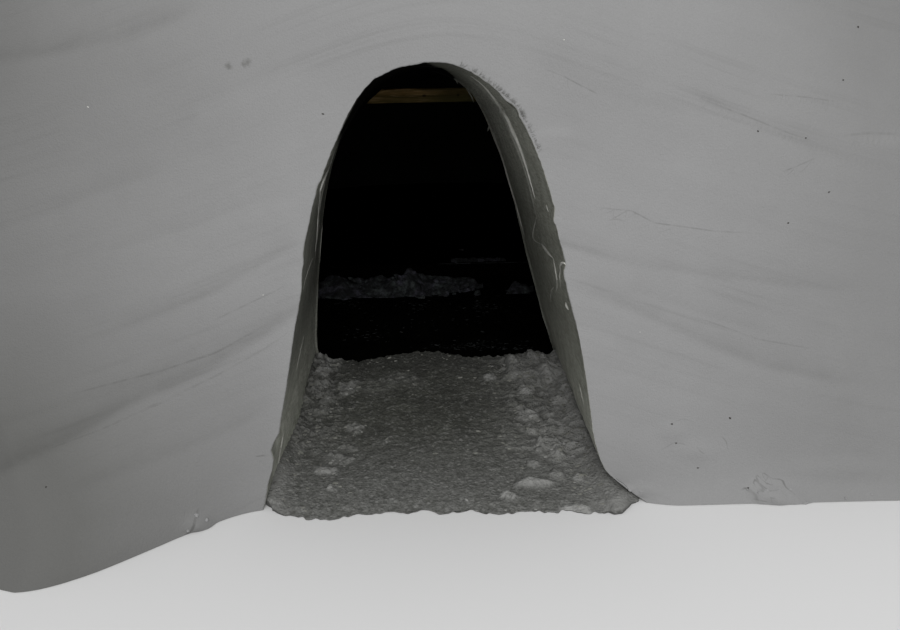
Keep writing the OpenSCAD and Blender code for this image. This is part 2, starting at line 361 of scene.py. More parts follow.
def makeWallSnow():
    material, surface, place, colour = makeSnow("windPackedSnow")
    tones = wallTones
    x, _, z = place.parts()
    layer = surfaceValue(place, "layer")
    rear = surfaceValue(place, "rear")
    front = 1.0 - rear
    colour = mixColour(noise(place, 12.0, 4.0, 0.6).span(0.35, 0.65, 0.0, 0.30), colour,
                       snowKinds["windPackedSnow"][1])
    band = lineNoise(layer, 9.0, 3.0).span(0.52, 0.72, smooth=True) * noise(place, 1.1).span(0.40, 0.62)
    colour = darken(band * (rear * 0.45), colour, tones["layer"])
    # Painted shade darkens the sides, the low left part and the upper face. The foot is darkened too, partly
    # as painted shade and partly as dirtier snow near the ground
    low = z.span(0.85, 0.15) * x.span(-0.35, -1.30, 0.0, 0.62)
    side = x.span(-0.45, -1.45, 0.0, 0.60).orMore(x.span(0.90, 1.50, 0.0, 0.30))
    foot = z.span(0.30, 0.0, 0.0, 0.16, smooth=True).orMore(low + side * front)
    colour = darken(foot + z.span(1.10, 1.55, 0.0, 0.13) * front, colour, tones["foot"])
    # Fine stripes, folds, thin cracks and smudges; the folds are painted in shade above their lines
    drawn = vectorOf(place.tree, layer * 34.0, noise(place, 1.6, 3.0))
    striped = noise(drawn, 1.0, 4.0, 0.65).span(0.48, 0.72, smooth=True)
    striped = striped * noise(place, 2.3).span(0.42, 0.64, 0.10, 1.0)
    colour = darken(striped * front * 0.42, colour, tones["stripe"])
    colour = darken(noise(place, 230.0, 2.0, 0.7).span(0.30, 0.70, 0.0, 0.36), colour, tones["stripe"])
    broken = noise(place, 9.0, 4.0, 0.6).span(0.30, 0.70, 0.60, 1.05) + striped * 0.80
    shade = surfaceValue(place, "shade") * broken
    colour = darken(shade.span(0.0, 1.0, 0.0, 0.92), colour, tones["fold"])
    colour = mixColour(shade.span(0.0, -0.6, 0.0, 0.8), colour, tones["paleLine"])
    crack = surfaceValue(place, "crack")
    thin = crack.orMore(0.0 - crack).span(0.3, 1.3, 1.0, 0.0, smooth=True)
    gaps = noise(place, 24.0, 3.0, 0.6).span(0.40, 0.58, 0.25, 1.0)
    colour = darken(thin * gaps * surfaceValue(place, "crackPower"), colour, tones["crack"])
    for pixel, size in smudges:
        colour = darken(spotAt(bent(place, 70.0), onFace(pixel), size, 0.3), colour, tones["smudge"])
    feed(surface["Base Color"], colour)
    return material


def makeCarvedSnow():
    material, surface, place, colour = makeSnow("carvedSnow")
    tones = carvedTones
    x, _, z = place.parts()
    depth, run, gloom = (surfaceValue(place, label) for label in ("depth", "run", "gloom"))
    onLeft = x.span(-0.1, -0.25)
    # Painted light: the reveal's upper right and its low part are lightened
    lit = x.span(-0.1, 0.24, smooth=True) * z.span(0.85, 1.35, smooth=True) * depth.span(0.0, 0.9, 0.25, 1.0)
    lit = lit.orMore(z.span(0.60, 0.10, 0.0, 0.55)).orMore(onLeft * z.span(0.40, 0.20, 0.0, 0.35))
    colour = mixColour(lit, colour, tones["lit"])
    # Painted shade: the left reveal, the doorway's apex and the left corner at the floor are darkened
    dim = onLeft * z.span(0.30, 0.60, smooth=True) * z.span(0.85, 1.25, 1.0, 0.20)
    colour = darken(dim, colour, tones["dim"])
    colour = darken(x.span(0.20, 0.02) * z.span(1.38, 1.48), colour, tones["apex"])
    corner = onLeft * z.span(0.16, 0.05, smooth=True) * depth.span(0.15, 0.50, 0.0, 0.75)
    colour = darken(corner, colour, tones["corner"])
    # Streaks and specks are drawn out along the passage
    streaks = noise(vectorOf(place.tree, depth * 13.0, run * 8.0), 1.0, 4.0, 0.6)
    drawn = vectorOf(place.tree, depth * 28.0, run * 150.0)
    spots = noise(drawn * (0.54, 0.42, 1.0), 1.0, 3.0, 0.8)
    specks = noise(drawn, 1.0, 3.0, 0.75)
    colour = darken(streaks.span(0.38, 0.66, 0.0, 0.90), colour, tones["streak"])
    colour = darken(spots.span(0.42, 0.64, 0.0, 0.85), colour, tones["speck"])
    colour = darken(specks.span(0.40, 0.64, 0.0, 0.85), colour, tones["speck"])
    # Painted deep shade: gloom turns the shaded parts of the passage nearly black and takes away their sheen
    colour = mixColour(gloom, colour, tones["gloom"])
    feed(surface["Specular IOR Level"], 0.5 - gloom * 0.5)
    # Painted highlight along the ridge's crest and the inner rim
    feed(surface["Base Color"], mixColour(surfaceValue(place, "crest"), colour, tones["crest"]))
    return material


def makeTroddenSnow():
    material, surface, place, colour = makeSnow("troddenSnow")
    shade, loose = snowKinds["troddenSnow"][1], snowKinds["looseSnow"][0]
    _, y, _ = place.parts()
    lift = surfaceValue(place, "lift")
    # Painted light: the floor lightens towards the open front
    colour = mixColour(y.span(-3.40, -4.0, smooth=True), colour, troddenLightAndShade["front"])
    flakes = Node(place.tree, "ShaderNodeTexVoronoi",
                  {"Vector": bent(place, 60.0) * (0.7, 1.0, 1.0), "Scale": 105.0})
    colour = mixColour(flakes["Color"].parts()[0].span(0.60, 1.0, 0.0, 0.36), colour, loose)
    colour = mixColour(flakes["Distance"].span(0.40, 0.75, 0.0, 0.45), colour, shade)
    # Painted shade in the relief's hollows
    colour = mixColour(lift.span(0.46, 0.10, 0.0, 0.62), colour, shade)
    # Painted shade deep inside the passage
    colour = mixColour(y.span(-3.20, -2.84, 0.0, 0.55, smooth=True), colour, troddenLightAndShade["deep"])
    # Painted light on the relief's tops, and the lighter loose snow with its painted highlights
    light = lift.span(0.58, 0.95, 0.0, 0.46).orMore(surfaceValue(place, "bright"))
    feed(surface["Base Color"], mixColour(light, colour, loose))
    return material


def makeHeapSnow():
    # Painted shade: the heap is very dark for the unlit room, mottled at random
    material, surface, place, _ = makeSnow("roomLooseSnow")
    pale, shade = snowKinds["roomLooseSnow"][:2]
    tinted = mixColour(noise(place, 9.0).span(0.45, 0.60), pale, heapTint)
    patches = noise(place, 17.0, 5.0, 0.75).span(0.46, 0.68)
    feed(surface["Base Color"], mixColour(patches, shade, tinted))
    return material


plain = ("roomSnow", "darkFloor", "looseSnow", "glintSnow", "chipSnow", "footSnow", "crestSnow", "curlSnow",
         "frostHair", "crumbSnow", "gritStone")
snow = {name: makeSnow(name)[0] for name in plain}
snow.update(passage=makeCarvedSnow(), trodden=makeTroddenSnow(), heap=makeHeapSnow())
print("snow materials built")


# Main form: the domed body, its shaved face and the doorway cut through it
body = {
    "skirtReach": 0.30, "skirtHeight": 0.60, "fullness": 2.3,
    "roomHeight": 2.85, "roomFullness": 2.2,
    "faceLean": math.tan(math.radians(6)), "faceBlend": 0.12,
}
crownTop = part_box("crown")[1].z
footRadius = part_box("lower_wall_back_right")[1].y
bodyRadius = footRadius - body["skirtReach"]
faceFoot = -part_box("door_jamb_left")[0].y
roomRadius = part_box("room_floor")[1].x
# The doorway's two arches, each by its height, half width, spread at the foot, shoulder and roundness
doorway = {
    "outerArch": (1.555, 0.448, 0.187, 4.0, 2.4), "innerArch": (1.526, 0.477, 0.19, 4.5, 1.8),
    "middle": 0.006, "innerShift": -0.012, "innerLean": -0.072, "innerLeanTop": 1.15,
    "innerReturn": 0.05, "rightFootFlare": 0.09, "rightFootHeight": 0.13,
}


def domeRadius(z, radius, height, fullness):
    return radius * np.maximum(0, 1 - np.clip(z / height, 0, 1) ** fullness) ** (1 / fullness)


def bodyRadiusAt(z):
    skirt = body["skirtReach"] * np.clip(1 - z / body["skirtHeight"], 0, 1) ** 2
    return domeRadius(z, bodyRadius, crownTop, body["fullness"]) + skirt


def roomRadiusAt(z):
    return domeRadius(z, roomRadius, body["roomHeight"], body["roomFullness"])


def smoothLess(first, second, blend):
    share = np.clip(0.5 + 0.5 * (second - first) / blend, 0, 1)
    return second + (first - second) * share - blend * share * (1 - share)


def faceDepth(z):
    return faceFoot - z * body["faceLean"]


def onFace(pixel):
    place, way = pixelRay(pixel)
    reach = (-faceFoot - place.y + place.z * body["faceLean"]) / (way.y - way.z * body["faceLean"])
    return place + way * reach


# Soft grey smudges on the face: pixel, size
smudges = (((247, 62.5), 0.017), ((228, 66), 0.015), ((243, 64.5), 0.010))
snow["wall"] = makeWallSnow()


def ease(value, low, high):
    share = np.clip((value - low) / (high - low), 0, 1)
    return share * share * (3 - 2 * share)


def bell(value, middle, width):
    return np.exp(-((value - middle) / width) ** 2)


# Snow blown against the face: the left bank swells forward, the right one is a low fillet
banks = {"leftReach": 0.42, "leftFrom": 0.62, "leftFull": 1.35, "leftEnd": 2.2, "leftFade": 3.1,
         "leftHeight": 0.34, "rightReach": 0.05, "rightHeight": 0.06}


def bankReach(x, z):
    b = banks
    left = ease(-x, b["leftFrom"], b["leftFull"]) * (1 - ease(-x, b["leftEnd"], b["leftFade"]))
    right = ease(x, 0.62, 0.9) * (1 - ease(x, 1.8, 2.4))
    return (b["leftReach"] * left * np.exp(-(z / b["leftHeight"]) ** 1.3)
            + b["rightReach"] * right * np.exp(-z / b["rightHeight"]))


def shapeFront(x, y, z):
    shaved = -smoothLess(-y, faceDepth(z), body["faceBlend"])
    cutBack = np.clip((shaved - y) / 0.02, 0, 1)  # the banks lie only where the face was shaved
    return shaved - np.minimum(bankReach(x, z) * cutBack, np.maximum(shaved - y, 0) + 0.02)


def mapOnDome(x, z, radiusAt, height, fullness):
    azimuth = np.arcsin(np.clip(x / radiusAt(z), -1, 1))
    rise = np.arcsin(np.clip(z / height, 0, 1) ** (fullness / 2))
    away = np.arccos(np.clip(np.cos(rise) * np.cos(azimuth), -1, 1))
    return away, np.arctan2(np.sin(rise), np.cos(rise) * np.sin(azimuth))


def pointOnDome(away, angle, radiusAt, height, fullness):
    forward = np.cos(away)
    across = np.sin(away) * np.cos(angle)
    up = np.clip(np.sin(away) * np.sin(angle), 0, 1)
    azimuth = np.arctan2(across, forward)
    z = height * up ** (2 / fullness)
    radius = radiusAt(z)
    return radius * np.sin(azimuth), -radius * np.cos(azimuth), z


def archHalf(z, arch):
    height, half, spread, shoulder, roundness = doorway[arch]
    share = np.clip(z / height, 0, 1)
    return half * (1 - share ** shoulder) ** (1 / roundness) + spread * (1 - share) ** 2


def rightFlare(z):
    return doorway["rightFootFlare"] * np.clip(1 - z / doorway["rightFootHeight"], 0, 1) ** 2


def innerMiddle(z):
    d = doorway
    lean = d["innerLean"] * np.sin(math.pi / 2 * np.clip(z / d["innerLeanTop"], 0, 1))
    return d["innerShift"] + lean + d["innerReturn"] * ease(z, d["innerLeanTop"], d["innerArch"][0])


# Rows of the shell run from the outside's back over the doorway's edge, through the passage, round the room
grid = {
    "cells": 256, "faceReach": 1.5, "fanFrom": 0.30, "roomReach": 0.55,
    "edgeSteps": (0.003, 0.006, 0.009, 0.013, 0.018, 0.024, 0.032, 0.042),
    "faceStep": 0.0135, "faceGrowth": 1.03, "faceEven": 0.85, "farStep": 0.028, "farGrowth": 1.045,
    "farLimit": 0.15,
    "fineDepth": 0.11, "frontSteps": (0.055, 0.07, 0.086, 0.103), "evenFrom": 0.12,
    "revealLength": 1.34, "revealStep": 0.026, "ridgeStep": 0.006, "ridgeFrom": 0.38, "ridgeTo": 0.52,
    "innerSteps": (0.006, 0.011, 0.017, 0.024, 0.032, 0.042), "innerFrom": 0.045, "edgeSmoothing": 1,
}
outlineLength = 3.7  # of the doorway's edge, in metres
# A raised ridge runs round the passage where two lengths of it meet. Its path: share of the outline, depth
ridge = {
    "path": ((0.0, 0.8), (0.21, 0.80), (0.25, 0.80), (0.29, 0.62), (0.33, 0.57), (0.5, 0.47), (0.7, 0.47),
             (1.0, 0.49)),
    "height": 0.007, "width": 0.006, "widen": 0.5, "wander": 0.006, "wanderStep": 0.09, "beyond": 0.006,
    "weakest": 0.12,
}
# Chips and curls of the outer edge: pixel of the photo, length along the edge, how far it is bitten back
edgeMarks = (
    ((553.5, 221), 0.014, -0.005), ((555, 209), 0.014, 0.003), ((566, 274), 0.022, -0.007),
    ((514, 104), 0.014, 0.004), ((373, 79), 0.012, 0.003), ((424, 63), 0.012, 0.002),
    ((318, 186), 0.02, 0.003), ((303, 262), 0.02, -0.003),
)
ragged = {"fine": 0.0005, "coarse": 0.0012, "top": 1.6, "fineStep": 0.012, "coarseStep": 0.11, "seed": 11,
          "outReach": 0.016, "inReach": 0.035}
# Unevenness of the opening's edge, as the photo shows it: row of pixels, shift of its left and right side
outlineMend = (
    (58, 0, 0), (72, 0.3, -4.3), (82, 0.0, -5.0), (95, 1.2, -5.2), (99, 1.9, -5.9), (102, 2.4, -4.6),
    (106, 2.9, -3.8), (110, 3.4, -1.3), (114, 3.7, -2.0), (117, 4.0, -3.6), (120, 4.2, -3.4),
    (140, 4.8, -3.7), (155, 4.2, -3.8), (170, 2.7, -3.4), (185, 1.8, -3.0), (205, 0.9, -3.2),
    (222, 0.4, -4.6), (240, -0.9, -4.8), (255, -0.2, -4.0), (264, 0.8, -3.8), (280, 2.2, -6.0),
    (290, 2.5, -6.4), (304, 1.9, -5.0), (320, 0.9, -3.8), (335, 0.4, -2.7), (350, 0.2, -1.3),
    (370, -0.5, -0.5), (400, -1.1, -0.8), (420, -2.0, -1.7), (432, -1.7, -2.0), (441, -5.4, -1.9),
    (450, -7.3, -1.2), (460, -3.2, 0.2), (470, -2.8, 2.8), (478, -3.8, 7.0), (486, -4.5, 10.0),
    (510, -5.0, 9.0),
)
# Line of pixels below which the doorway's top is in the dark
apexShade = ((0, 424, 431, 440, 447.5, 453.3, 456, 462, 464, 900),
             (62, 62, 64.0, 68.0, 72.5, 77.5, 81, 88, 630, 630))
# Snow left at the foot of the passage's left wall: width, height, where it starts and is full behind the face
wallFillet = {"width": 0.052, "height": 0.085, "start": 0.10, "full": 0.50}


def growingSteps(start, step, growth, end, evenUntil=0.0, limit=1.0):
    values = [start]
    while values[-1] < end:
        values.append(values[-1] + step)
        if values[-1] > evenUntil:
            step = min(step * growth, limit)
    return values[:-1] + [end]


def outlineColumns(count):
    z = doorway["outerArch"][0] * np.sin(np.linspace(0, math.pi / 2, 3000))
    half = archHalf(z, "outerArch")
    x = np.concatenate([-half, half[::-1][1:]])
    z = np.concatenate([z, z[::-1][1:]])
    run = np.concatenate([[0], np.cumsum(np.hypot(np.diff(x), np.diff(z)))])
    share = np.linspace(0, 1, count)
    return np.interp(share * run[-1], run, x), np.interp(share * run[-1], run, z), share


def outwardNormals(x, z):
    across = -np.gradient(z)
    up = np.gradient(x)
    across[0], across[-1] = -1, 1
    up = up * ease(z, 0.0, 0.3)
    length = np.hypot(across, up)
    return across / length, up / length


def fanRows(x, z, normals, steps, fanFrom, reach, fan, radiusAt, height, fullness):
    rows = []
    for step in steps:
        away, angle = mapOnDome(x + normals[0] * step, z + normals[1] * step, radiusAt, height, fullness)
        share = ease(step, fanFrom, reach)
        rows.append((away, (1 - share) * angle + share * fan))
    return rows


def farRows(start, steps, fan):
    total = steps[-1]
    return [(start + (math.pi - start) * step / total, fan) for step in steps[1:-1]]


def outerEdge(x, z):
    outX = x + np.where(x > 0, rightFlare(z), 0) + doorway["middle"] * ease(z, 0.1, 0.7)
    place = np.stack([outX, -faceDepth(z), z], axis=-1)
    down = toPixels(place)[:, 1]
    atRow, left, right = zip(*outlineMend)
    shift = np.where(x > 0, np.interp(down, atRow, right), np.interp(down, atRow, left))
    return outX + shift * pixelSize(place)


def passageDepths(share):
    g = grid
    ridgeFrom, ridgeTo, length = g["ridgeFrom"], g["ridgeTo"], g["revealLength"]
    lastEven = length - g["innerFrom"]
    even = [*g["edgeSteps"], *g["frontSteps"], *np.arange(g["evenFrom"], ridgeFrom, g["revealStep"]),
            *np.arange(ridgeFrom, ridgeTo, g["ridgeStep"]), *np.arange(ridgeTo, lastEven, g["revealStep"])]
    even += [length - step for step in reversed(g["innerSteps"])]
    followed = np.interp(share, *zip(*ridge["path"]))
    spread = (ridgeTo - ridgeFrom) / 2
    knots = (g["fineDepth"], ridgeFrom, ridgeTo, lastEven)
    depths = []
    for depth in even:
        if knots[0] < depth < knots[3]:  # rows bend so that the close ones follow the ridge
            low = np.interp(depth, knots, (knots[0], 0, 0, knots[3]))
            part = np.interp(depth, knots, (0, 1, 1, 0))
            depth = (low + part * (followed + np.interp(depth, knots[1:3], (-spread, spread))))[:, None]
        depths.append(depth)
    return depths


def shellRows():
    g = grid
    x, z, share = outlineColumns(2 * g["cells"] + 1)
    fan = math.pi * (1 - share)
    outX = outerEdge(x, z)
    normals = outwardNormals(x, z)
    steps = growingSteps(g["edgeSteps"][-1], g["faceStep"], g["faceGrowth"], g["faceReach"], g["faceEven"])
    outer = (bodyRadiusAt, crownTop, body["fullness"])
    near = fanRows(outX, z, normals, [*g["edgeSteps"], *steps[1:]], g["fanFrom"], g["faceReach"], fan, *outer)
    far = farRows(near[-1][0], growingSteps(0, g["farStep"], g["farGrowth"], 9.5, 0, g["farLimit"]), fan)
    rows = []
    for away, angle in reversed(near + far):
        px, py, pz = pointOnDome(away, angle, *outer)
        rows.append(np.stack([px, shapeFront(px, py, pz), pz], axis=-1))
    edge = np.stack([outX, -faceDepth(z), z], axis=-1)
    rows.append(edge)
    kinds = ["outside"] * (len(rows) - 1 - len(g["edgeSteps"])) + ["fine"] * (len(g["edgeSteps"]) + 1)
    innerZ = z / doorway["outerArch"][0] * doorway["innerArch"][0]
    innerX = innerMiddle(innerZ) + np.sign(x) * archHalf(innerZ, "innerArch")
    inner = np.stack([innerX, -np.sqrt(roomRadiusAt(innerZ) ** 2 - innerX ** 2), innerZ], axis=-1)
    for depth in passageDepths(share):
        rows.append(edge + (inner - edge) * depth / g["revealLength"])
        kinds.append("fine" if np.max(depth) < g["fineDepth"] else "passage")
    rows.append(inner)
    kinds.append("passage")
    w = wallFillet
    for row in rows[len(near) + len(far) + 1:]:
        reach = np.linalg.norm(row - edge, axis=-1)
        foot = np.exp(-(np.maximum(row[:, 2], 0) / w["height"]) ** 1.6)
        row[:, 0] += np.where(x > 0, 0, w["width"] * foot * ease(reach, w["start"], w["full"]))
    innerNormals = outwardNormals(innerX, innerZ)
    roomForm = (roomRadiusAt, body["roomHeight"], body["roomFullness"])
    roomSteps = [*g["innerSteps"], *growingSteps(0.06, 0.03, 1.15, g["roomReach"])]
    roomNear = fanRows(innerX, innerZ, innerNormals, roomSteps, 0.1, g["roomReach"], fan, *roomForm)
    roomFar = farRows(roomNear[-1][0], growingSteps(0, 0.12, 1.1, 6.0, 0, 0.32), fan)
    for away, angle in roomNear + roomFar:
        rows.append(np.stack(pointOnDome(away, angle, *roomForm), axis=-1))
        kinds.append("room")
    return np.array(rows), kinds, share


def noiseAlong(distance, step, seed):
    count = int(distance[-1] / step) + 3
    values = np.random.default_rng(seed).uniform(-1, 1, count)
    at = distance / step
    low = at.astype(int)
    part = at - low
    part = part * part * (3 - 2 * part)
    return values[low] * (1 - part) + values[low + 1] * part


def edgeShift(edge, share):
    run = share * outlineLength
    top = 1 + ragged["top"] * bell(share, 0.52, 0.16)
    shift = top * (ragged["fine"] * noiseAlong(run, ragged["fineStep"], ragged["seed"])
                   + ragged["coarse"] * noiseAlong(run, ragged["coarseStep"], ragged["seed"] + 1))
    seen = toPixels(edge)
    for pixel, length, bite in edgeMarks:
        nearest = np.argmin(np.hypot(seen[:, 0] - pixel[0], seen[:, 1] - pixel[1]))
        shift += bite * np.exp(-np.abs((run - run[nearest]) / length) ** 3)
    return shift * ease(edge[:, 2], 0.0, 0.04)


def sculptEdge(rows, edgeRow, share):
    edge = rows[edgeRow]
    shift = edgeShift(edge, share)
    outward = rows[edgeRow - 8] - edge
    outward[:, 1] = 0
    outward /= np.linalg.norm(outward, axis=1, keepdims=True)
    for k in range(edgeRow - 9, edgeRow + 13):
        reach = np.linalg.norm(rows[k] - edge, axis=1)
        fade = np.exp(-(reach / ragged["outReach" if k < edgeRow else "inReach"]) ** 2)
        rows[k] += outward * (shift * fade)[:, None]


def sculptPassage(rows, push, crest, edgeRow, innerRow, share):
    front = rows[edgeRow]
    depth = np.linalg.norm(rows - front, axis=-1)
    along = np.interp(share, *zip(*ridge["path"]))
    strength = np.maximum(bell(share, 0.63, 0.085), 0.9 * bell(share, 0.28, 0.075)) + ridge["weakest"]
    width = ridge["width"] * (1 + ridge["widen"] * (0.5 * np.sin(share * 90) + ease(share, 0.55, 0.68)))
    wander = ridge["wander"] * noiseAlong(share * outlineLength, ridge["wanderStep"], 5)
    line = np.exp(-((depth - along - wander) / width) ** 2) * strength
    inside = np.zeros(len(rows))
    inside[edgeRow + 12:innerRow - 4] = 1
    line *= inside[:, None]
    rows += push * (ridge["height"] * line)[..., None]
    # Painted highlight along the ridge's crest
    crest += np.clip(line * 0.5, 0, 1)
    step = ease(depth - along, -0.02, 0.05) * inside[:, None]  # past the ridge the passage is a little wider
    rows -= push * (ridge["beyond"] * step)[..., None]
    # Painted highlight along the inner rim
    crest[innerRow - 3:innerRow + 1] += 0.8 * bell(share, 0.67, 0.10)


# Folds, pale strokes and thin cracks in the face: pixels of the photo from left to right, strength, width in
# metres. A fold is painted in shade upwards from its line and swells below it.
folds = (
    (((-40, 63), (0, 58), (48, 52), (96, 42), (135, 31), (173, 17), (215, 0)), 0.75, 0.070),
    (((-20, 232), (0, 227), (46, 212), (85, 195), (127, 180), (175, 168)), 0.35, 0.050),
    (((100, 252), (142, 240), (192, 225), (240, 205), (300, 188)), 0.30, 0.035),
    (((110, 330), (150, 316), (215, 288), (254, 267), (285, 247), (306, 237)), 0.55, 0.050),
    (((-40, 482), (0, 469), (69, 436), (127, 402), (173, 382), (215, 360), (261, 333), (298, 308),
      (310, 300)), 1.15, 0.070),
    (((-20, 428), (0, 424), (70, 402), (150, 376), (229, 330)), 0.30, 0.035),
    (((60, 492), (127, 469), (178, 448), (236, 424), (290, 390)), 0.50, 0.060),
    (((528, 62), (563, 71), (590, 85), (621, 96), (655, 104), (700, 120)), 0.28, 0.035),
    (((680, 84), (721, 106), (755, 123), (794, 138), (832, 154), (920, 178)), 0.38, 0.045),
    (((553, 236), (563, 244), (609, 256), (655, 267), (721, 275), (794, 285), (915, 292)), 0.52, 0.038),
    (((560, 284), (600, 294), (640, 310), (680, 330), (721, 348), (771, 366), (825, 377),
      (920, 390)), 0.72, 0.055),
    (((620, 285), (655, 294), (702, 312), (740, 324), (800, 340)), 0.40, 0.040),
)
paleStrokes = (
    (((195, 118), (208, 111), (250, 95), (285, 80), (330, 62)), 0.07, 0.030),
    (((528, 135), (548, 132), (578, 133)), 0.13, 0.016),
    (((855, 144), (885, 141), (915, 140)), 0.13, 0.016),
    (((560, 330), (590, 333), (620, 345)), 0.10, 0.030),
)
cracks = (
    (((60, 397), (110, 384), (160, 371), (215, 353), (255, 331), (293, 309)), 0.50, 0.0044),
    (((592, 207), (632, 211), (655, 223), (713, 231), (790, 236)), 0.60, 0.0032),
    (((596, 210), (596, 213)), 0.9, 0.0030),
    (((605, 221), (617, 219), (628, 222)), 0.5, 0.0030),
    (((540, 67), (563, 76), (590, 90), (601, 95)), 0.6, 0.0030),
    (((690, 95), (720, 105), (750, 117), (790, 133), (830, 147)), 0.45, 0.0036),
    (((110, 425), (160, 402), (215, 376), (262, 350), (300, 325)), 0.34, 0.0044),
    (((40, 452), (95, 432), (150, 408), (195, 388)), 0.40, 0.0044),
    (((765, 93), (809, 97), (845, 103)), 0.45, 0.0030),
    (((835, 136), (871, 133), (905, 135)), 0.30, 0.0060),
    (((783, 172), (800, 165), (818, 157)), 0.60, 0.0028),
    (((690, 315), (760, 340), (830, 352)), 0.35, 0.0035),
    (((210, 322), (250, 303), (300, 279)), 0.35, 0.0035),
    (((672, 424), (683, 419), (697, 424)), 0.5, 0.0030),
    (((660, 452), (675, 443), (690, 446)), 0.4, 0.0030),
    (((697, 447), (701, 452), (706, 455)), 0.5, 0.0030),
    (((722, 437), (727, 442), (729, 451)), 0.6, 0.0030),
    (((757, 490), (754, 484), (757, 477), (763, 473), (768, 475), (771, 479), (784, 480), (785, 487),
      (796, 496), (805, 504)), 1.0, 0.0034),
    (((751, 494), (762, 495), (774, 497)), 0.9, 0.0030),
    (((753, 499), (763, 500), (772, 502)), 0.8, 0.0030),
    (((758, 488), (768, 485), (780, 484)), 0.8, 0.0028),
    (((764, 479), (767, 484), (763, 488), (759, 484), (762, 479)), 0.7, 0.0024),
    (((742, 490), (747, 488), (752, 490)), 1.0, 0.0045),
    (((199, 508), (193, 520), (189, 531), (176, 542)), 1.0, 0.0050),
    (((194, 527), (199, 532), (210, 531), (220, 525), (238, 522)), 0.9, 0.0045),
    (((255, 456), (263, 455), (271, 455)), 0.7, 0.0035),
)
# Swellings and dents at the foot of the face: pixel, half sizes in pixels, how far out in metres
swellings = (
    ((778, 496), (26, 12), 0.030), ((757, 494), (9, 7), 0.014), ((801, 503), (12, 6), 0.012),
    ((199, 524), (17, 9), 0.020), ((213, 543), (12, 6), -0.012), ((190, 541), (12, 7), 0.014),
    ((640, 492), (24, 7), 0.008), ((845, 470), (60, 9), 0.006), ((700, 452), (26, 10), 0.004),
    ((672, 432), (14, 9), 0.004),
)
noCrack = 9.0  # stands for a point that no line is near


def lineDistance(seen, perPixel, line, fadeStart=0.15, fadeEnd=0.80):
    nearest = np.full(len(seen), noCrack)
    side, share = np.zeros(len(seen)), np.zeros(len(seen))
    line = np.array(line, float)
    for k, (start, end) in enumerate(zip(line[:-1], line[1:])):
        run = end - start
        away = seen - start
        part = np.clip((away @ run) / (run @ run), 0, 1)
        gap = away - part[:, None] * run
        distance = np.hypot(gap[:, 0], gap[:, 1]) * perPixel
        closer = distance < nearest
        nearest[closer] = distance[closer]
        side[closer] = np.sign(run[1] * gap[:, 0] - run[0] * gap[:, 1])[closer]
        share[closer] = ((k + part) / (len(line) - 1))[closer]
    return nearest, side, ease(share, 0.0, fadeStart) * (1 - ease(share, fadeEnd, 1.0))


def faceMarks(points):
    seen = toPixels(points)
    perPixel = pixelSize(points)
    front = (points[:, 1] < -3.2) & (points[:, 2] < 2.4)
    marks = {label: np.zeros(len(points)) for label in ("shade", "swell", "crackPower", "crack", "lump")}
    marks["crack"] += noCrack
    for line, strength, width in folds:
        nearest, side, power = lineDistance(seen, perPixel, line)
        signed = nearest * side / width
        above = 0.8 * np.exp(-np.clip(signed, 0, None) ** 2) + 0.35 * np.exp(-(signed / 0.22) ** 2)
        below = np.exp(-(np.clip(signed, None, 0) / 0.30) ** 2)
        marks["shade"] += strength * power * np.where(signed > 0, above, below)
        marks["swell"] += strength * power * width * signed * np.exp(-0.5 * signed ** 2)
    for pixel, half, height in swellings:
        away = np.hypot((seen[:, 0] - pixel[0]) / half[0], (seen[:, 1] - pixel[1]) / half[1])
        wrinkle = 1 + 0.22 * np.sin(seen[:, 1] * 0.9 + 0.25 * seen[:, 0]) * np.exp(-(away / 0.8) ** 2)
        marks["lump"] += height * (1 - ease(away, 0.25, 1.25)) * wrinkle
    for line, strength, width in paleStrokes:
        nearest, side, power = lineDistance(seen, perPixel, line)
        marks["shade"] -= strength * power * np.exp(-(nearest / width) ** 2)
    for line, strength, width in cracks:
        nearest, side, power = lineDistance(seen, perPixel, line, 0.2, 0.7)
        closer = (nearest / width < np.abs(marks["crack"])) & (nearest < 0.08)
        marks["crack"][closer] = (nearest * side / width)[closer]
        marks["crackPower"][closer] = (strength * power)[closer]
    for label in ("shade", "swell", "crackPower", "lump"):
        marks[label] *= front
    return marks


def smoothCorner(rows, first, last, times):
    for _ in range(times):
        middle = rows[first:last]
        rows[first:last] = 0.5 * middle + 0.25 * rows[first - 1:last - 1] + 0.25 * rows[first + 1:last + 1]


def gridNormals(rows):
    along = np.gradient(rows, axis=0)
    across = np.gradient(rows, axis=1)
    normal = np.cross(along, across)
    length = np.linalg.norm(normal, axis=-1, keepdims=True)
    return normal / np.maximum(length, 1e-12)


# Painted deep shade in the passage, at pixels of the photo: a notch by its middle and half sizes, a line,
# strengths
gloomMarks = {"notch": (272.5, 452, 5.5, 13), "notchPower": 0.50, "rimPower": 0.62, "linePower": 0.45,
              "lineDown": (455, 480, 508), "lineAcross": (272, 270, 265), "lineWidth": 2.5}


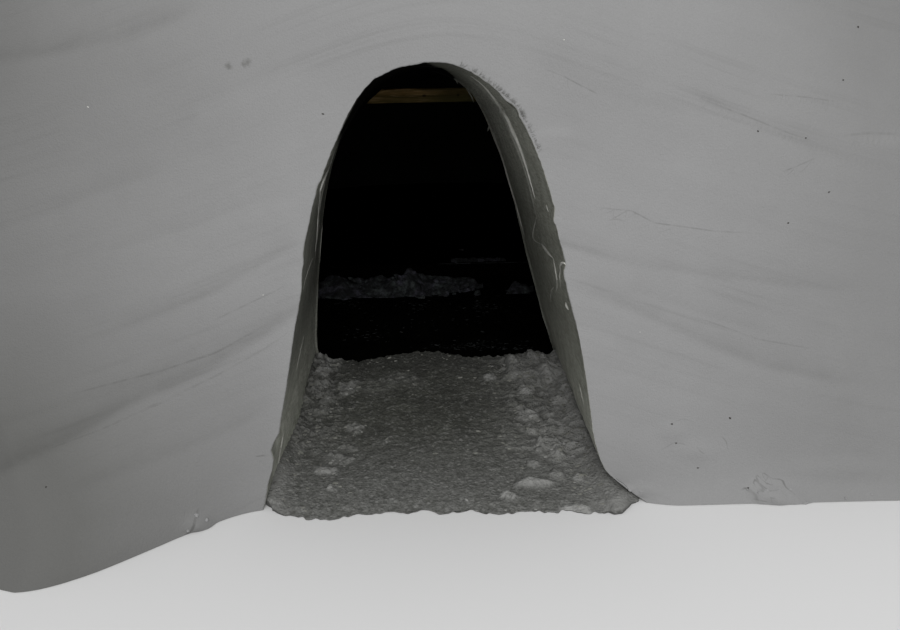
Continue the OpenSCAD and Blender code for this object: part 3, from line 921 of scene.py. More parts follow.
def gloomField(rows, share, depth):
    m = gloomMarks
    seen = toPixels(rows)
    across, down = seen[..., 0], seen[..., 1]
    gloom = ease(share + 0.03 * np.clip(depth, 0, 1.4), 0.366, 0.388)
    gloom *= np.where(share > 0.45, ease(down - np.interp(across, *apexShade), -1.0, 1.0), 1.0)
    gloom *= 1 - bell(share, 0.375, 0.030) * (1 - ease(depth, 0.02, 0.10))  # a thin lit rim is left
    u, v, halfU, halfV = m["notch"]
    notch = m["notchPower"] * np.exp(-((across - u) / halfU) ** 2 - ((down - v) / halfV) ** 2)
    line = m["linePower"] * bell(across, np.interp(down, m["lineDown"], m["lineAcross"]), m["lineWidth"])
    line *= ease(down, 452, 462)
    gloom = np.maximum(gloom, np.maximum(notch, line) * (depth > 0.004) * (share < 0.3))
    rim = m["rimPower"] * bell(share, 0.56, 0.055) * bell(depth, 0.020, 0.018)
    return np.maximum(gloom, rim * (depth > 0))


def shellMesh():
    rows, kinds, share = shellRows()
    edgeRow = kinds.count("outside") + len(grid["edgeSteps"])
    innerRow = len(kinds) - 1 - kinds[::-1].index("passage")
    smoothCorner(rows, edgeRow - 7, edgeRow + 8, grid["edgeSmoothing"])
    smoothCorner(rows, innerRow - 5, innerRow + 6, grid["edgeSmoothing"])
    push = gridNormals(rows)
    crest = np.zeros(rows.shape[:2])
    depth = np.linalg.norm(rows - rows[edgeRow], axis=-1)
    depth[:edgeRow] *= -1
    gloom = gloomField(rows, share, depth)
    sculptEdge(rows, edgeRow, share)
    sculptPassage(rows, push, crest, edgeRow, innerRow, share)
    push = gridNormals(rows)
    rows[:, 0, 2] = rows[:, -1, 2] = 0
    rows[..., 2] = np.maximum(rows[..., 2], 0)
    push[..., 2] *= ease(rows[..., 2], 0.0, 0.05)
    zone = np.repeat([0.0, 1.0, 2.0], (edgeRow, innerRow + 1 - edgeRow, len(rows) - innerRow - 1))
    # Every row is thinned by half but the fine ones. One point closes the outside's back and one the room's
    steps = [1 if kind == "fine" else 2 for kind in kinds]
    columns = [len(share[::step]) for step in steps]
    starts = [1 + sum(columns[:k]) for k in range(len(columns))]
    total = 1 + sum(columns)

    def gathered(field, first=0.0, last=0.0):
        return np.concatenate([[first]] + [row[::step] for row, step in zip(field, steps)] + [[last]])

    cells = grid["cells"]
    faces = [face for i in range(cells) for face in ((0, starts[0] + i, starts[0] + i + 1),
                                                     (total, starts[-1] + i + 1, starts[-1] + i))]
    for a, b, wide, wideNext in zip(starts, starts[1:], columns, columns[1:]):
        if wide == wideNext:
            faces += [(a + i, b + i, b + i + 1, a + i + 1) for i in range(wide - 1)]
        elif wide < wideNext:
            faces += [(a + i, b + 2 * i, b + 2 * i + 1, b + 2 * i + 2, a + i + 1) for i in range(cells)]
        else:
            faces += [(a + 2 * i, b + i, b + i + 1, a + 2 * i + 2, a + 2 * i + 1) for i in range(cells)]
    leftFoot = [0] + starts + [total]
    rightFoot = [0] + [start + wide - 1 for start, wide in zip(starts, columns)] + [total]
    faces += [tuple(reversed(leftFoot)), tuple(rightFoot)]
    points = gathered(rows, [0, footRadius, 0], [0, roomRadius, 0])
    thing = meshObject("snow_shell", points, faces)
    markFoot(thing.data, leftFoot, rightFoot)
    x, y, z = points.T
    drape = np.sqrt((x - 0.05) ** 2 + 0.09) - 0.3
    fields = {"push": gathered(push, [0, 1.0, 0], [0, -1.0, 0]),
              "layer": z + 0.42 * 1.6 * np.tanh(drape / 1.6),
              "zone": gathered(np.broadcast_to(zone[:, None], crest.shape), 0.0, 2.0),
              "crest": gathered(crest), "gloom": gathered(gloom), "depth": gathered(depth),
              "run": gathered(np.broadcast_to(share * outlineLength, crest.shape))}
    outside = fields["zone"] < 0.5
    for label, values in faceMarks(points).items():
        fields[label] = values if label == "crack" else values * outside
    front = (1 - ease(y, -3.3, -2.6)) * (1 - ease(np.abs(x), 2.0, 2.8)) * (1 - ease(z, 1.9, 2.4))
    fields["rear"] = 1 - front
    for label, values in fields.items():
        storeValues(thing, label, values)
    return thing


def markFoot(mesh, *loops):
    edges = {frozenset(pair) for loop in loops for pair in zip(loop, loop[1:] + loop[:1])}
    for edge in mesh.edges:
        edge.use_edge_sharp = frozenset(edge.vertices) in edges
    for k in (1, 2):  # the last two faces are the foot
        mesh.polygons[len(mesh.polygons) - k].use_smooth = False


relief = {"Swell Depth": -0.022, "Swell Scale": 0.9, "Ripple Depth": -0.0035, "Ripple Scale": 4.5,
          "Swell Share": 0.055, "Layer Depth": 0.0022, "Layer Scale": 11.0, "Carved Depth": -0.006,
          "Carved Scale": 9.0, "Seed": 4.0}


def reliefTree():
    paints = {"Outside": -1.0, "Passage": 0.5, "Room": 1.5}  # each from this zone on
    tree, get = geometryTree("snowRelief", {**dict.fromkeys(relief, "Float"),
                                            **dict.fromkeys(paints, "Material")})
    place = position(tree)
    zone = namedValue(tree, "zone")
    outside = zone.span(1.0, 0.0)
    swell = centredNoise(place, get["Swell Scale"], get["Swell Depth"], 1.0, get["Seed"])
    ripple = centredNoise(place, get["Ripple Scale"], get["Ripple Depth"], 3.0, get["Seed"])
    ledge = (lineNoise(namedValue(tree, "layer"), get["Layer Scale"]) - 0.5) * get["Layer Depth"]
    ledge = ledge - namedValue(tree, "swell") * get["Swell Share"] + namedValue(tree, "lump")
    carved = centredNoise(place, get["Carved Scale"], get["Carved Depth"], 3.0, get["Seed"])
    height = (swell + ripple + ledge) * outside + carved * (1.0 - outside)
    moved = movePoints(get["Geometry"], namedValue(tree, "push", "FLOAT_VECTOR") * height)
    last = Node(tree, "GeometryNodeRealizeInstances", {0: moved})[0]
    for label, low in paints.items():
        chosen = Node(tree, "ShaderNodeMath", {0: zone, 1: low}, operation="GREATER_THAN")[0]
        last = Node(tree, "GeometryNodeSetMaterial", {"Geometry": last, "Selection": chosen,
                                                      "Material": get[label]})[0]
    Node(tree, "NodeGroupOutput", {0: last})
    return tree


shell = shellMesh()
applyTree(shell, reliefTree(), {**relief, "Outside": snow["wall"], "Passage": snow["passage"],
                                "Room": snow["roomSnow"]})
wallStarts = ("lower_wall", "middle_wall", "upper_wall", "door_", "crown", "foot_bank")
handOver(shell, "packed_snow", *(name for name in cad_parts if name.startswith(wallStarts)))


def surfaceFinder(thing):
    mesh = thing.data
    tree = BVHTree.FromPolygons([v.co for v in mesh.vertices], [p.vertices for p in mesh.polygons])
    return lambda pixel: tree.ray_cast(*pixelRay(pixel))[:2]  # place and normal, or None twice


onShell = surfaceFinder(shell)


# Trodden floor of the passage: rises inwards to a ragged lip above the room's darker floor
floorForm = {
    "across": 236, "along": 236, "front": 0.014, "apron": 0.055, "sunk": 0.03, "drop": 0.05,
    "dropShare": 0.05, "dropRows": 14, "looseLeft": 0.17, "looseRight": 0.30, "looseHeight": 0.011,
    "lip": ((-0.70, -2.78), (-0.55, -2.86), (-0.42, -2.88), (-0.22, -2.80), (-0.05, -2.75), (0.12, -2.82),
            (0.30, -2.86), (0.42, -2.81), (0.50, -2.80), (0.58, -2.88), (0.70, -2.92)),
    "lipWaver": 0.024, "sideHeap": 0.022, "sideWidth": 0.06, "filletHeight": 0.045, "filletWidth": 0.045,
}
# Mounds of loose snow on it, at pixels of the photo: middle, half width and half depth in pixels, height,
# brightness, roughness
mounds = (
    ((531, 370), (33, 20), 0.042, 0.55, 0.5), ((549, 379), (12, 9), 0.030, 1.00, 0.1),
    ((533, 363), (12, 6), 0.022, 0.95, 0.2), ((549, 366), (9, 8), 0.018, 0.80, 0.3),
    ((511, 366), (10, 7), 0.018, 0.55, 0.8), ((490, 378), (7, 4.5), 0.015, 0.75, 0.1),
    ((527, 391), (10, 5), 0.022, 0.85, 0.2), ((561, 392), (12, 8), 0.016, 0.45, 0.1),
    ((559, 403), (9, 4.5), 0.026, 0.95, 0.1), ((531, 416), (13, 6), 0.018, 0.70, 0.6),
    ((516, 404), (9, 6), 0.010, 0.25, 1.0), ((534, 430), (8, 5), 0.012, 0.40, 0.6),
    ((551, 447), (15, 10), 0.020, 0.45, 0.4), ((550, 426), (12, 9), 0.014, 0.30, 0.2),
    ((540, 445), (4, 4), 0.012, 0.75, 0.3), ((557, 456), (9, 5), 0.014, 0.60, 0.4),
    ((536, 484), (19, 5.5), 0.024, 0.74, 0.1), ((511, 495), (9, 4), 0.014, 0.80, 0.9),
    ((577, 512), (26, 12), 0.018, 0.95, 0.2), ((557, 475), (12, 8), 0.014, 0.40, 0.3),
    ((534, 465), (9, 5), 0.010, 0.50, 0.6), ((579, 478), (8, 5), 0.012, 0.55, 0.3),
    ((585, 460), (14, 7), 0.010, 0.30, 0.1), ((572, 432), (14, 14), 0.012, 0.18, 0.0),
    ((323, 373), (8, 7), 0.022, 0.75, 0.6), ((321, 388), (9, 9), 0.016, 0.55, 1.0),
    ((326, 400), (8, 7), 0.012, 0.45, 1.0), ((350, 388), (12, 7), 0.012, 0.40, 1.0),
    ((322, 412), (10, 6), 0.012, 0.40, 0.7), ((338, 458), (14, 6), 0.009, 0.28, 1.0),
    ((326, 470), (15, 4.5), 0.010, 0.75, 0.2), ((330, 488), (3.5, 3), 0.010, 0.65, 0.1),
    ((331, 361), (12, 5), 0.020, 0.75, 1.0), ((356, 428), (10, 5), 0.010, 0.35, 1.0),
    ((346, 447), (15, 7), 0.006, 0.20, 1.0), ((410, 380), (30, 9), 0.006, 0.12, 0.6),
    ((388, 440), (12, 5), 0.006, 0.15, 1.0), ((375, 385), (24, 12), 0.006, 0.10, 0.5),
)
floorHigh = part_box("passage_floor")[1]
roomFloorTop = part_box("room_floor")[1].z


def floorHeight(y):
    rise = np.clip((y + faceFoot) / (faceFoot - 2.8), 0, 1)
    return floorForm["front"] + (floorHigh.z - floorForm["front"]) * rise


def onFloor(pixel):
    z = 0.05
    for _ in range(4):  # each try starts from the height found at the last one's place
        hit = onPlane(pixel, 2, z)
        z = float(floorHeight(hit.y))
    return hit


def passageSides(y, z):
    inner = -math.sqrt(roomRadiusAt(z) ** 2 - archHalf(z, "innerArch") ** 2)
    share = (y + faceFoot) / (inner + faceFoot)
    outerHalf, innerHalf, middle = archHalf(z, "outerArch"), archHalf(z, "innerArch"), innerMiddle(z)
    left = -outerHalf * (1 - share) + (middle - innerHalf) * share
    right = (outerHalf + rightFlare(z)) * (1 - share) + (middle + innerHalf) * share
    return left, right


def waver(x, y, scale, seed):  # soft random field between -1 and 1
    size = 64
    values = np.random.default_rng(seed).uniform(-1, 1, (size, size))
    px, py = np.mod(x * scale, size), np.mod(y * scale, size)
    ix, iy = px.astype(int) % size, py.astype(int) % size
    fx, fy = px - np.floor(px), py - np.floor(py)
    fx, fy = fx * fx * (3 - 2 * fx), fy * fy * (3 - 2 * fy)
    jx, jy = (ix + 1) % size, (iy + 1) % size
    low = values[ix, iy] * (1 - fx) + values[jx, iy] * fx
    high = values[ix, jy] * (1 - fx) + values[jx, jy] * fx
    return low * (1 - fy) + high * fy


def addMounds(x, y, z, left, right):
    inside = ease(np.minimum(x - left, right - x), 0.0, 0.03)
    flakes = waver(x, y * 1.8, 24, 15) + 0.8 * waver(x, y * 1.7, 47, 16) + 0.4 * waver(x, y * 1.6, 90, 17)
    band = np.maximum(np.exp(-((x - left) / floorForm["looseLeft"]) ** 2) * ease(y, -3.85, -3.60),
                      np.exp(-((right - x) / floorForm["looseRight"]) ** 2) * ease(y, -3.95, -3.70)) * inside
    chunk = ease(flakes, 0.15, 0.75) * band
    z += floorForm["looseHeight"] * chunk
    # bright: the lighter loose snow along the sides, with painted highlights on its flakes and at the right
    # edge
    bright = (np.where(x > 0, 0.60, 0.22) * band + 0.46 * chunk) * (0.75 + 0.25 * waver(x, y, 60, 18))
    bright = bright + 0.34 * np.exp(-((right - x) / 0.12) ** 2)
    heap = 0.9 * band
    for pixel, half, height, tone, rough in mounds:
        middle = onFloor(pixel)
        side, near = onFloor((pixel[0] + half[0], pixel[1])), onFloor((pixel[0], pixel[1] + half[1]))
        across, depth = abs(side.x - middle.x), abs(near.y - middle.y)
        away = np.hypot((x - middle.x) / across, (y - middle.y) / depth)
        loose = 0.3 + 0.7 * min(1, rough + 0.25)
        away = away + loose * (0.42 * waver(x, y, 1.5 / across, 3) + 0.26 * waver(x, y, 4.0 / across, 4))
        form = ease(1.12 - away, 0.0, 0.95 - 0.25 * rough)
        z += height * form
        # A mound's brightness is its lighter loose snow, partly painted highlight on its top
        glow = 0.92 * tone * ease(1.10 - away, 0.0, 0.60) * (1 + 0.3 * waver(x, y, 5.0 / across, 5))
        bright = np.maximum(bright, glow)
        heap = heap * (1 - form) + rough * form
    return bright, heap


def floorMesh():
    f = floorForm
    lipX, lipY = zip(*f["lip"])
    lipAt = 1 - f["dropShare"]
    across = np.linspace(0, 1, f["across"] + 1)
    along = np.concatenate([np.linspace(0, lipAt, f["along"] - f["dropRows"]),
                            np.linspace(lipAt, 1, f["dropRows"] + 1)[1:]])
    x = np.zeros((len(along), len(across)))
    for _ in range(2):  # the sides depend on how far in a row lies
        ripple = waver(x, 0 * x, 14, 6) + 0.6 * waver(x, 0 * x, 45, 7)
        lip = np.interp(x, lipX, lipY) + f["lipWaver"] * ripple
        reach = f["apron"] * (1 + 0.55 * waver(x, 0 * x, 4.5, 8) + 0.3 * waver(x, 0 * x, 17, 9)
                              + 0.14 * waver(x, 0 * x, 60, 10))
        front = -faceFoot - reach * ease(np.where(x > 0, 0.78, 0.66) - np.abs(x), 0.0, 0.14)
        inward = np.minimum(along / lipAt, 1)[:, None]
        past = (np.maximum(along - lipAt, 0) / f["dropShare"])[:, None]
        y = front + (lip - front) * inward + past * f["drop"]
        left, right = passageSides(np.maximum(y, -faceFoot), 0.06)
        reachRight = right + 0.10 * ease(-y, faceFoot - 0.12, faceFoot - 0.02)
        hidden = f["sunk"] * ease(y, -faceFoot - 0.005, -faceFoot + 0.03)
        x = (left - hidden) + (reachRight - left + 2 * hidden) * across[None, :]
    z = floorHeight(y)
    toSide = np.minimum(x - left, right - x)
    side = np.exp(-(np.maximum(toSide, 0) / f["sideWidth"]) ** 2) * ease(y, -3.95, -3.4)
    z = z + f["sideHeap"] * side
    bright, heap = addMounds(x, y, z, left, right)
    z = z * (0.2 + 0.8 * ease(y - front, 0.0, 0.06))
    over = ease(along, lipAt, 1.0)[:, None]
    z = z * (1 - over) + 0.5 * roomFloorTop * over
    nearBack = bell(x, 0.42, 0.22) * bell(y, -3.0, 0.25)
    fillet = np.exp(-(np.maximum(toSide, 0) / f["filletWidth"]) ** 2) * ease(-y, 3.45, 3.85)
    fillet = np.maximum(fillet, 0.7 * np.exp(-(np.maximum(right - x, 0) / 0.05) ** 2) * ease(y, -3.9, -3.5))
    fillet *= 1 - 0.8 * ease(x, 0.66, 0.75)
    fade = np.where(x < 0, 1 - 0.6 * ease(-y, 3.8, 4.0), 1 - 0.5 * ease(-y, 3.85, 4.02))
    z = z + f["filletHeight"] * fillet * fade
    z = z * (1 - 0.35 * ease(x, 0.70, 0.78))
    # Painted light: the fillets at the jambs are lightened against their shade
    bright = np.maximum(bright, np.where(x < 0, 0.34, 0.42) * fillet * ease(-y, 3.6, 3.95))
    heap = np.clip(np.maximum(heap, 0.5 * side) * (1 - fillet), 0, 1)
    crumbs = np.clip(0.9 * np.exp(-(toSide / 0.17) ** 2) + 0.04 + 0.7 * nearBack + 0.5 * heap
                     + 0.5 * bell(y, -2.84, 0.05), 0, 1) * ease(toSide, 0.01, 0.03)
    crumbs = crumbs * (1 - ease(along, lipAt - 0.01, lipAt + 0.01)[:, None]) * ease(y - front, 0.01, 0.03)
    return closedSlab("trodden_floor", x, y, z, {"crumbs": crumbs, "heap": heap, "bright": bright})


def closedSlab(name, x, y, z, values):
    rows, columns = x.shape
    top = np.stack([x, y, z], axis=-1).reshape(-1, 3)
    count = rows * columns
    index = np.arange(count).reshape(rows, columns)
    rim = [*index[0], *index[1:, -1], *index[-1, -2::-1], *index[-2:0:-1, 0]]
    low = top[rim].copy()
    low[:, 2] = 0
    cells = (index[:-1, :-1], index[:-1, 1:], index[1:, 1:], index[1:, :-1])
    faces = np.stack(cells, axis=-1).reshape(-1, 4).tolist()
    under = [*range(count, count + len(rim))]
    faces += zip(rim, under, under[1:] + under[:1], rim[1:] + rim[:1])
    faces.append(under[::-1])
    thing = meshObject(name, np.concatenate([top, low]), faces)
    for label, field in {"top": np.ones_like(x), **values}.items():
        storeValues(thing, label, np.concatenate([field.ravel(), np.zeros(len(rim))]))
    return thing


troddenRelief = {"Clod Depth": 0.016, "Clod Scale": 34.0, "Patch Depth": 0.008, "Patch Scale": 7.0,
                 "Grain Depth": 0.0105, "Grain Scale": 56.0, "Seed": 2.0}


def troddenTree():
    inputs = {**dict.fromkeys(troddenRelief, "Float"), "Material": "Material"}
    tree, get = geometryTree("troddenRelief", inputs)
    place = position(tree)
    patches = centredNoise(place, get["Patch Scale"], get["Patch Depth"], 2.0, get["Seed"])
    grains = centredNoise(place, get["Grain Scale"], get["Grain Depth"], 2.0, get["Seed"], 0.7)
    drawn = bent(place, 40.0) * (0.62, 1.0, 1.0)
    inputs = {"Vector": drawn, "Scale": get["Clod Scale"], "Smoothness": 0.25}
    cells = Node(tree, "ShaderNodeTexVoronoi", inputs, feature="SMOOTH_F1")
    clod = (0.42 - cells["Distance"]) * get["Clod Depth"] * (namedValue(tree, "heap") * 1.2 + 0.40)
    calm = place.parts()[1].span(-3.40, -3.90, 1.0, 0.60)  # the outer end is trodden flatter
    fine = (clod + grains) * calm
    height = (fine + patches) * namedValue(tree, "top")
    stored = storeField(get["Geometry"], "lift", fine.span(-0.005, 0.007))
    return finishTree(movePoints(stored, vectorOf(tree, z=height)), get["Material"])


troddenTrees = {"passage": troddenTree(), "room": troddenTree()}
passageFloor = floorMesh()
applyTree(passageFloor, troddenTrees["passage"], {**troddenRelief, "Material": snow["trodden"]})
print("trodden floor shaped,", len(passageFloor.data.polygons), "faces")


# Lumps and crumbs of snow: instances of one small ball, each then roughened to its own size
lumpInputs = {"Detail": "Int", **dict.fromkeys(("Length", "Turn", "Broad", "Fine", "Sunk"), "Float"),
              "Seed": "Int", "Material": "Material"}


def randomVector(seed, low, high):
    return Node(seed.tree, "FunctionNodeRandomValue", {0: low, 1: high, "Seed": seed},
                data_type="FLOAT_VECTOR")[0]


def growLumps(points, size, get, smooth):
    tree = points.tree
    stored = storeField(points, "size", size)
    size = namedValue(tree, "size")
    sunk = movePoints(stored, vectorOf(tree, z=size * (get["Sunk"] * -1.0)))
    ball = Node(tree, "GeometryNodeMeshIcoSphere", {"Subdivisions": get["Detail"]})[0]
    stretch = randomVector(get["Seed"], (0.8, 0.6, 0.45), (1.4, 1.0, 0.85))
    turns = [vectorOf(tree, 0.4 * side, 0.4 * side, get["Turn"] * side) for side in (-1.0, 1.0)]
    turn = Node(tree, "FunctionNodeEulerToRotation", {0: randomVector(get["Seed"] + 1.0, *turns)})[0]
    scale = stretch * vectorOf(tree, get["Length"], 1.0, 1.0) * size
    placed = Node(tree, "GeometryNodeInstanceOnPoints", {"Points": sunk, "Instance": ball, "Rotation": turn,
                                                         "Scale": scale})[0]
    whole = Node(tree, "GeometryNodeRealizeInstances", {0: placed})[0]
    own = position(tree) * Node(tree, "ShaderNodeMath", {0: 1.0, 1: size}, operation="DIVIDE")[0]
    rough = noiseVector(own, 0.8) * get["Broad"] + noiseVector(own, 2.6) * get["Fine"]
    return finishTree(movePoints(whole, rough * size), get["Material"], smooth)


def lumpTree(name, smooth):
    tree, get = geometryTree(name, lumpInputs)
    return growLumps(get["Geometry"], namedValue(tree, "size"), get, smooth)


def crumbTree():
    inputs = {**lumpInputs, **dict.fromkeys(("Density", "Smallest", "Largest"), "Float")}
    tree, get = geometryTree("snowCrumbs", inputs)
    scatter = Node(tree, "GeometryNodeDistributePointsOnFaces",
                   {"Mesh": get["Geometry"], "Density": get["Density"] * namedValue(tree, "crumbs"),
                    "Seed": get["Seed"]})
    chance = Node(tree, "FunctionNodeRandomValue", {"Seed": get["Seed"]}, data_type="FLOAT")[1]
    size = get["Smallest"] + chance.power(4.0) * (get["Largest"] - get["Smallest"])
    return growLumps(scatter["Points"], size, get, False)


softLumps = lumpTree("softLumps", True)
sharpLumps = lumpTree("sharpLumps", False)
crumbs = crumbTree()


def pointObject(name, places, sizes):
    thing = meshObject(name, places, [])
    storeValues(thing, "size", np.array(sizes))
    return thing


def lumpsOn(find, name, spots):
    found = [(find((u, v))[0], size) for u, v, size in spots]
    found = [(place, size) for place, size in found if place is not None]
    return pointObject(name, *zip(*found))


def joinMeshes(name, things):
    with bpy.context.temp_override(active_object=things[0], selected_editable_objects=things):
        bpy.ops.object.join()
    things[0].name = name
    things[0].data.name = name
    return things[0]


def sidePart(side):
    part = passageFloor.copy()
    part.data = passageFloor.data.copy()
    bpy.context.scene.collection.objects.link(part)
    count = len(part.data.vertices)
    field, place = np.zeros(count, np.float32), np.zeros(count * 3, np.float32)
    part.data.attributes["crumbs"].data.foreach_get("value", field)
    part.data.vertices.foreach_get("co", place)
    field *= (np.sign(place[::3] + 0.01) == side)
    part.data.attributes["crumbs"].data.foreach_set("value", field)
    return part


# Single lumps among the crumbs: pixel of the photo, radius
passageLumps = {
    "left": (
        (327, 357, 0.012), (334, 360, 0.011), (340, 359, 0.011), (322, 361, 0.013), (338, 363, 0.008),
        (331, 364, 0.009), (320, 370, 0.013), (326, 374, 0.012), (319, 381, 0.012), (325, 386, 0.010),
        (318, 391, 0.010), (328, 397, 0.009), (323, 405, 0.009), (330, 411, 0.008), (316, 398, 0.008),
        (334, 455, 0.010), (341, 460, 0.010), (332, 462, 0.009), (344, 466, 0.008), (334, 473, 0.008),
        (330, 487, 0.006), (350, 388, 0.010), (357, 402, 0.010), (346, 393, 0.008), (356, 427, 0.008),
        (361, 431, 0.007), (376, 434, 0.007), (365, 446, 0.007), (391, 436, 0.008),
    ),
    "right": (
        (505, 364, 0.012), (516, 373, 0.011), (546, 393, 0.009), (524, 391, 0.013), (531, 392, 0.012),
        (498, 356, 0.009), (479, 358, 0.008), (493, 366, 0.008), (500, 372, 0.008), (521, 358, 0.010),
        (541, 358, 0.009), (552, 368, 0.010), (532, 415, 0.012), (524, 412, 0.010), (539, 420, 0.010),
        (514, 418, 0.008), (545, 430, 0.009), (516, 437, 0.008), (538, 444, 0.009), (562, 453, 0.010),
        (552, 449, 0.011), (546, 456, 0.008), (521, 468, 0.008), (505, 491, 0.009), (512, 494, 0.010),
        (580, 476, 0.009), (575, 482, 0.007), (536, 509, 0.008), (505, 510, 0.007), (467, 500, 0.007),
    ),
}
looseSettings = {
    "crumbs": {"Density": 1300.0, "Smallest": 0.0022, "Largest": 0.010, "Length": 1.6, "Turn": 0.5,
               "Broad": 1.1, "Fine": 0.0, "Detail": 1, "Sunk": 0.25},
    "lumps": {"Detail": 3, "Length": 1.2, "Turn": 0.8, "Broad": 1.1, "Fine": 0.9, "Sunk": 0.60},
}


def loosePile(side, seed):
    name = "loose_snow_" + side
    big = lumpsOn(surfaceFinder(passageFloor), name + "_big", passageLumps[side])
    applyTree(big, softLumps, {**looseSettings["lumps"], "Seed": seed, "Material": snow["looseSnow"]})
    small = sidePart(-1 if side == "left" else 1)
    applyTree(small, crumbs, {**looseSettings["crumbs"], "Seed": seed + 5, "Material": snow["crumbSnow"]})
    handOver(joinMeshes(name, [big, small]), "loose_snow", "passage_snow_" + side)


loosePile("left", 3)
loosePile("right", 4)
handOver(passageFloor, "trodden_snow", "passage_floor")

# Heap of broken snow on the room's floor, against the platform's front, and one lump apart from it
roomHeap = {
    "left": -0.88, "right": 0.33, "front": -1.66, "back": -1.34, "waver": 0.035, "recess": 0.16, "sunk": 0.01,
    "top": ((-0.88, 0.0), (-0.80, 0.09), (-0.70, 0.12), (-0.55, 0.085), (-0.36, 0.085), (-0.26, 0.112),
            (-0.19, 0.120), (-0.13, 0.112), (-0.05, 0.075), (0.04, 0.065), (0.15, 0.065), (0.27, 0.05),
            (0.33, 0.0)),
    "lumps": 46, "smallest": 0.012, "largest": 0.034, "seed": 7,
    "farLump": (0.58, -1.55), "farHalf": (0.100, 0.07), "farHeight": 0.044,
    "relief": {"Clod Depth": 0.030, "Clod Scale": 17.0, "Patch Depth": 0.022, "Patch Scale": 9.0,
               "Grain Depth": 0.012, "Seed": 6.0},
    "lumpForm": {"Detail": 3, "Length": 1.0, "Turn": 3.14, "Broad": 1.3, "Fine": 0.7, "Sunk": 0.2, "Seed": 9},
}


def heapSlab(name, x, y, height):
    values = {"heap": np.ones_like(x), "bright": np.zeros_like(x)}
    slab = closedSlab(name, x, y, 0.4 * roomFloorTop + height, values)
    applyTree(slab, troddenTrees["room"], {**troddenRelief, **roomHeap["relief"], "Material": snow["heap"]})
    return slab


def buildRoomHeap():
    h = roomHeap
    left, right, front, back = h["left"], h["right"], h["front"], h["back"]
    x, part = np.meshgrid(np.linspace(left, right, 190), np.linspace(0, 1, 56))
    near = front + h["waver"] * waver(x, x * 0, 9, 13) + h["recess"] * ease(x, 0.02, 0.33)
    y = near + (back - near) * part
    top = np.interp(x, *zip(*h["top"])) * (0.85 + 0.3 * waver(x, y, 11, 14))
    form = ease(part, 0.0, 0.55) * (1 - 0.9 * ease(part, 0.8, 1.0))
    form = form * ease(x - left, 0, 0.05) * ease(right - x, 0, 0.05)
    heap = heapSlab("room_heap", x, y, roomFloorTop + top * form - h["sunk"])
    turn, part = np.meshgrid(np.linspace(-1, 1, 44), np.linspace(-1, 1, 30))
    dome = np.sqrt(np.clip(1 - np.maximum(np.abs(turn), np.abs(part)) ** 3, 0, 1))
    x, y = (middle + share * half for middle, share, half in zip(h["farLump"], (turn, part), h["farHalf"]))
    rise = h["farHeight"] * dome * ease(np.hypot(turn, part), 1.05, 0.35)
    lump = heapSlab("far_lump", x, y, roomFloorTop + rise - h["sunk"])
    chance = np.random.default_rng(h["seed"])
    px = chance.uniform(left + 0.04, right - 0.04, h["lumps"])
    share = chance.uniform(0.0, 0.6, h["lumps"])
    pz = roomFloorTop + np.interp(px, *zip(*h["top"])) * ease(share, 0.0, 0.55)
    size = h["smallest"] + (h["largest"] - h["smallest"]) * chance.uniform(0, 1, h["lumps"]) ** 2
    lumps = pointObject("heap_lumps", np.stack([px, front + (back - front) * share, pz], axis=-1), size)
    applyTree(lumps, softLumps, {**h["lumpForm"], "Material": snow["heap"]})
    handOver(joinMeshes("room_heap", [heap, lump, lumps]), "loose_snow", "room_snow_lumps")


buildRoomHeap()

# Snow left along the platform's front, and one lump at a pixel of the photo
stripForm = {"lumps": 60, "radius": 0.020, "spread": 0.025, "seed": 3, "lumpAt": (461, 250),
             "lumpRadius": 0.016,
             "lumpForm": {"Detail": 3, "Length": 1.3, "Turn": 0.5, "Broad": 1.2, "Fine": 0.5, "Sunk": 0.1,
                          "Seed": 12}}


def buildStrip():
    low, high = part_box("platform_snow_strip")
    s = stripForm
    chance = np.random.default_rng(s["seed"])
    x = np.linspace(low.x + s["radius"], high.x - s["radius"], s["lumps"])
    y = (low.y + high.y) / 2 + chance.uniform(-s["spread"], s["spread"], s["lumps"])
    size = s["radius"] * chance.uniform(0.5, 1.2, s["lumps"])
    places = np.stack([x, y, low.z + size * 0.4], axis=-1)
    places = np.concatenate([places, [onPlane(s["lumpAt"], 2, low.z)]])
    strip = pointObject("platform_snow", places, np.append(size, s["lumpRadius"]))
    applyTree(strip, softLumps, {**s["lumpForm"], "Material": snow["heap"]})
    handOver(strip, "loose_snow", "platform_snow_strip")


buildStrip()

# Chips of snow and ice trodden into the room's dark floor: pixels of each patch's middle, half size, how many
roomChips = {
    "smallest": 0.0022, "largest": 0.0070, "seed": 17, "front": -2.70, "back": -1.3, "side": 1.6,
    "patches": (((352, 303), (22, 9), 60), ((422, 306), (28, 5), 45), ((482, 308), (22, 9), 70),
                ((480, 346), (55, 6), 150), ((365, 336), (30, 7), 40), ((430, 322), (90, 16), 70),
                ((359, 329), (1, 1), 2), ((379, 327), (1, 1), 2)),
    "chipForm": {"Detail": 1, "Length": 3.2, "Turn": 0.15, "Broad": 0.8, "Fine": 0.0, "Sunk": 0.45,
                 "Seed": 14},
}


def buildRoomChips():
    c = roomChips
    chance = np.random.default_rng(c["seed"])
    places = []
    for middle, half, count in c["patches"]:
        for pixel in zip(*(chance.normal(at, reach / 2, count) for at, reach in zip(middle, half))):
            spot = onPlane(pixel, 2, roomFloorTop)
            if c["front"] < spot.y < c["back"] and abs(spot.x) < c["side"]:
                places.append(spot)
    size = c["smallest"] + (c["largest"] - c["smallest"]) * chance.uniform(0, 1, len(places)) ** 2
    chips = pointObject("room_chips", places, size)
    applyTree(chips, sharpLumps, {**c["chipForm"], "Material": snow["chipSnow"]})
    handOver(chips, "loose_snow")


buildRoomChips()
print("room snow built")


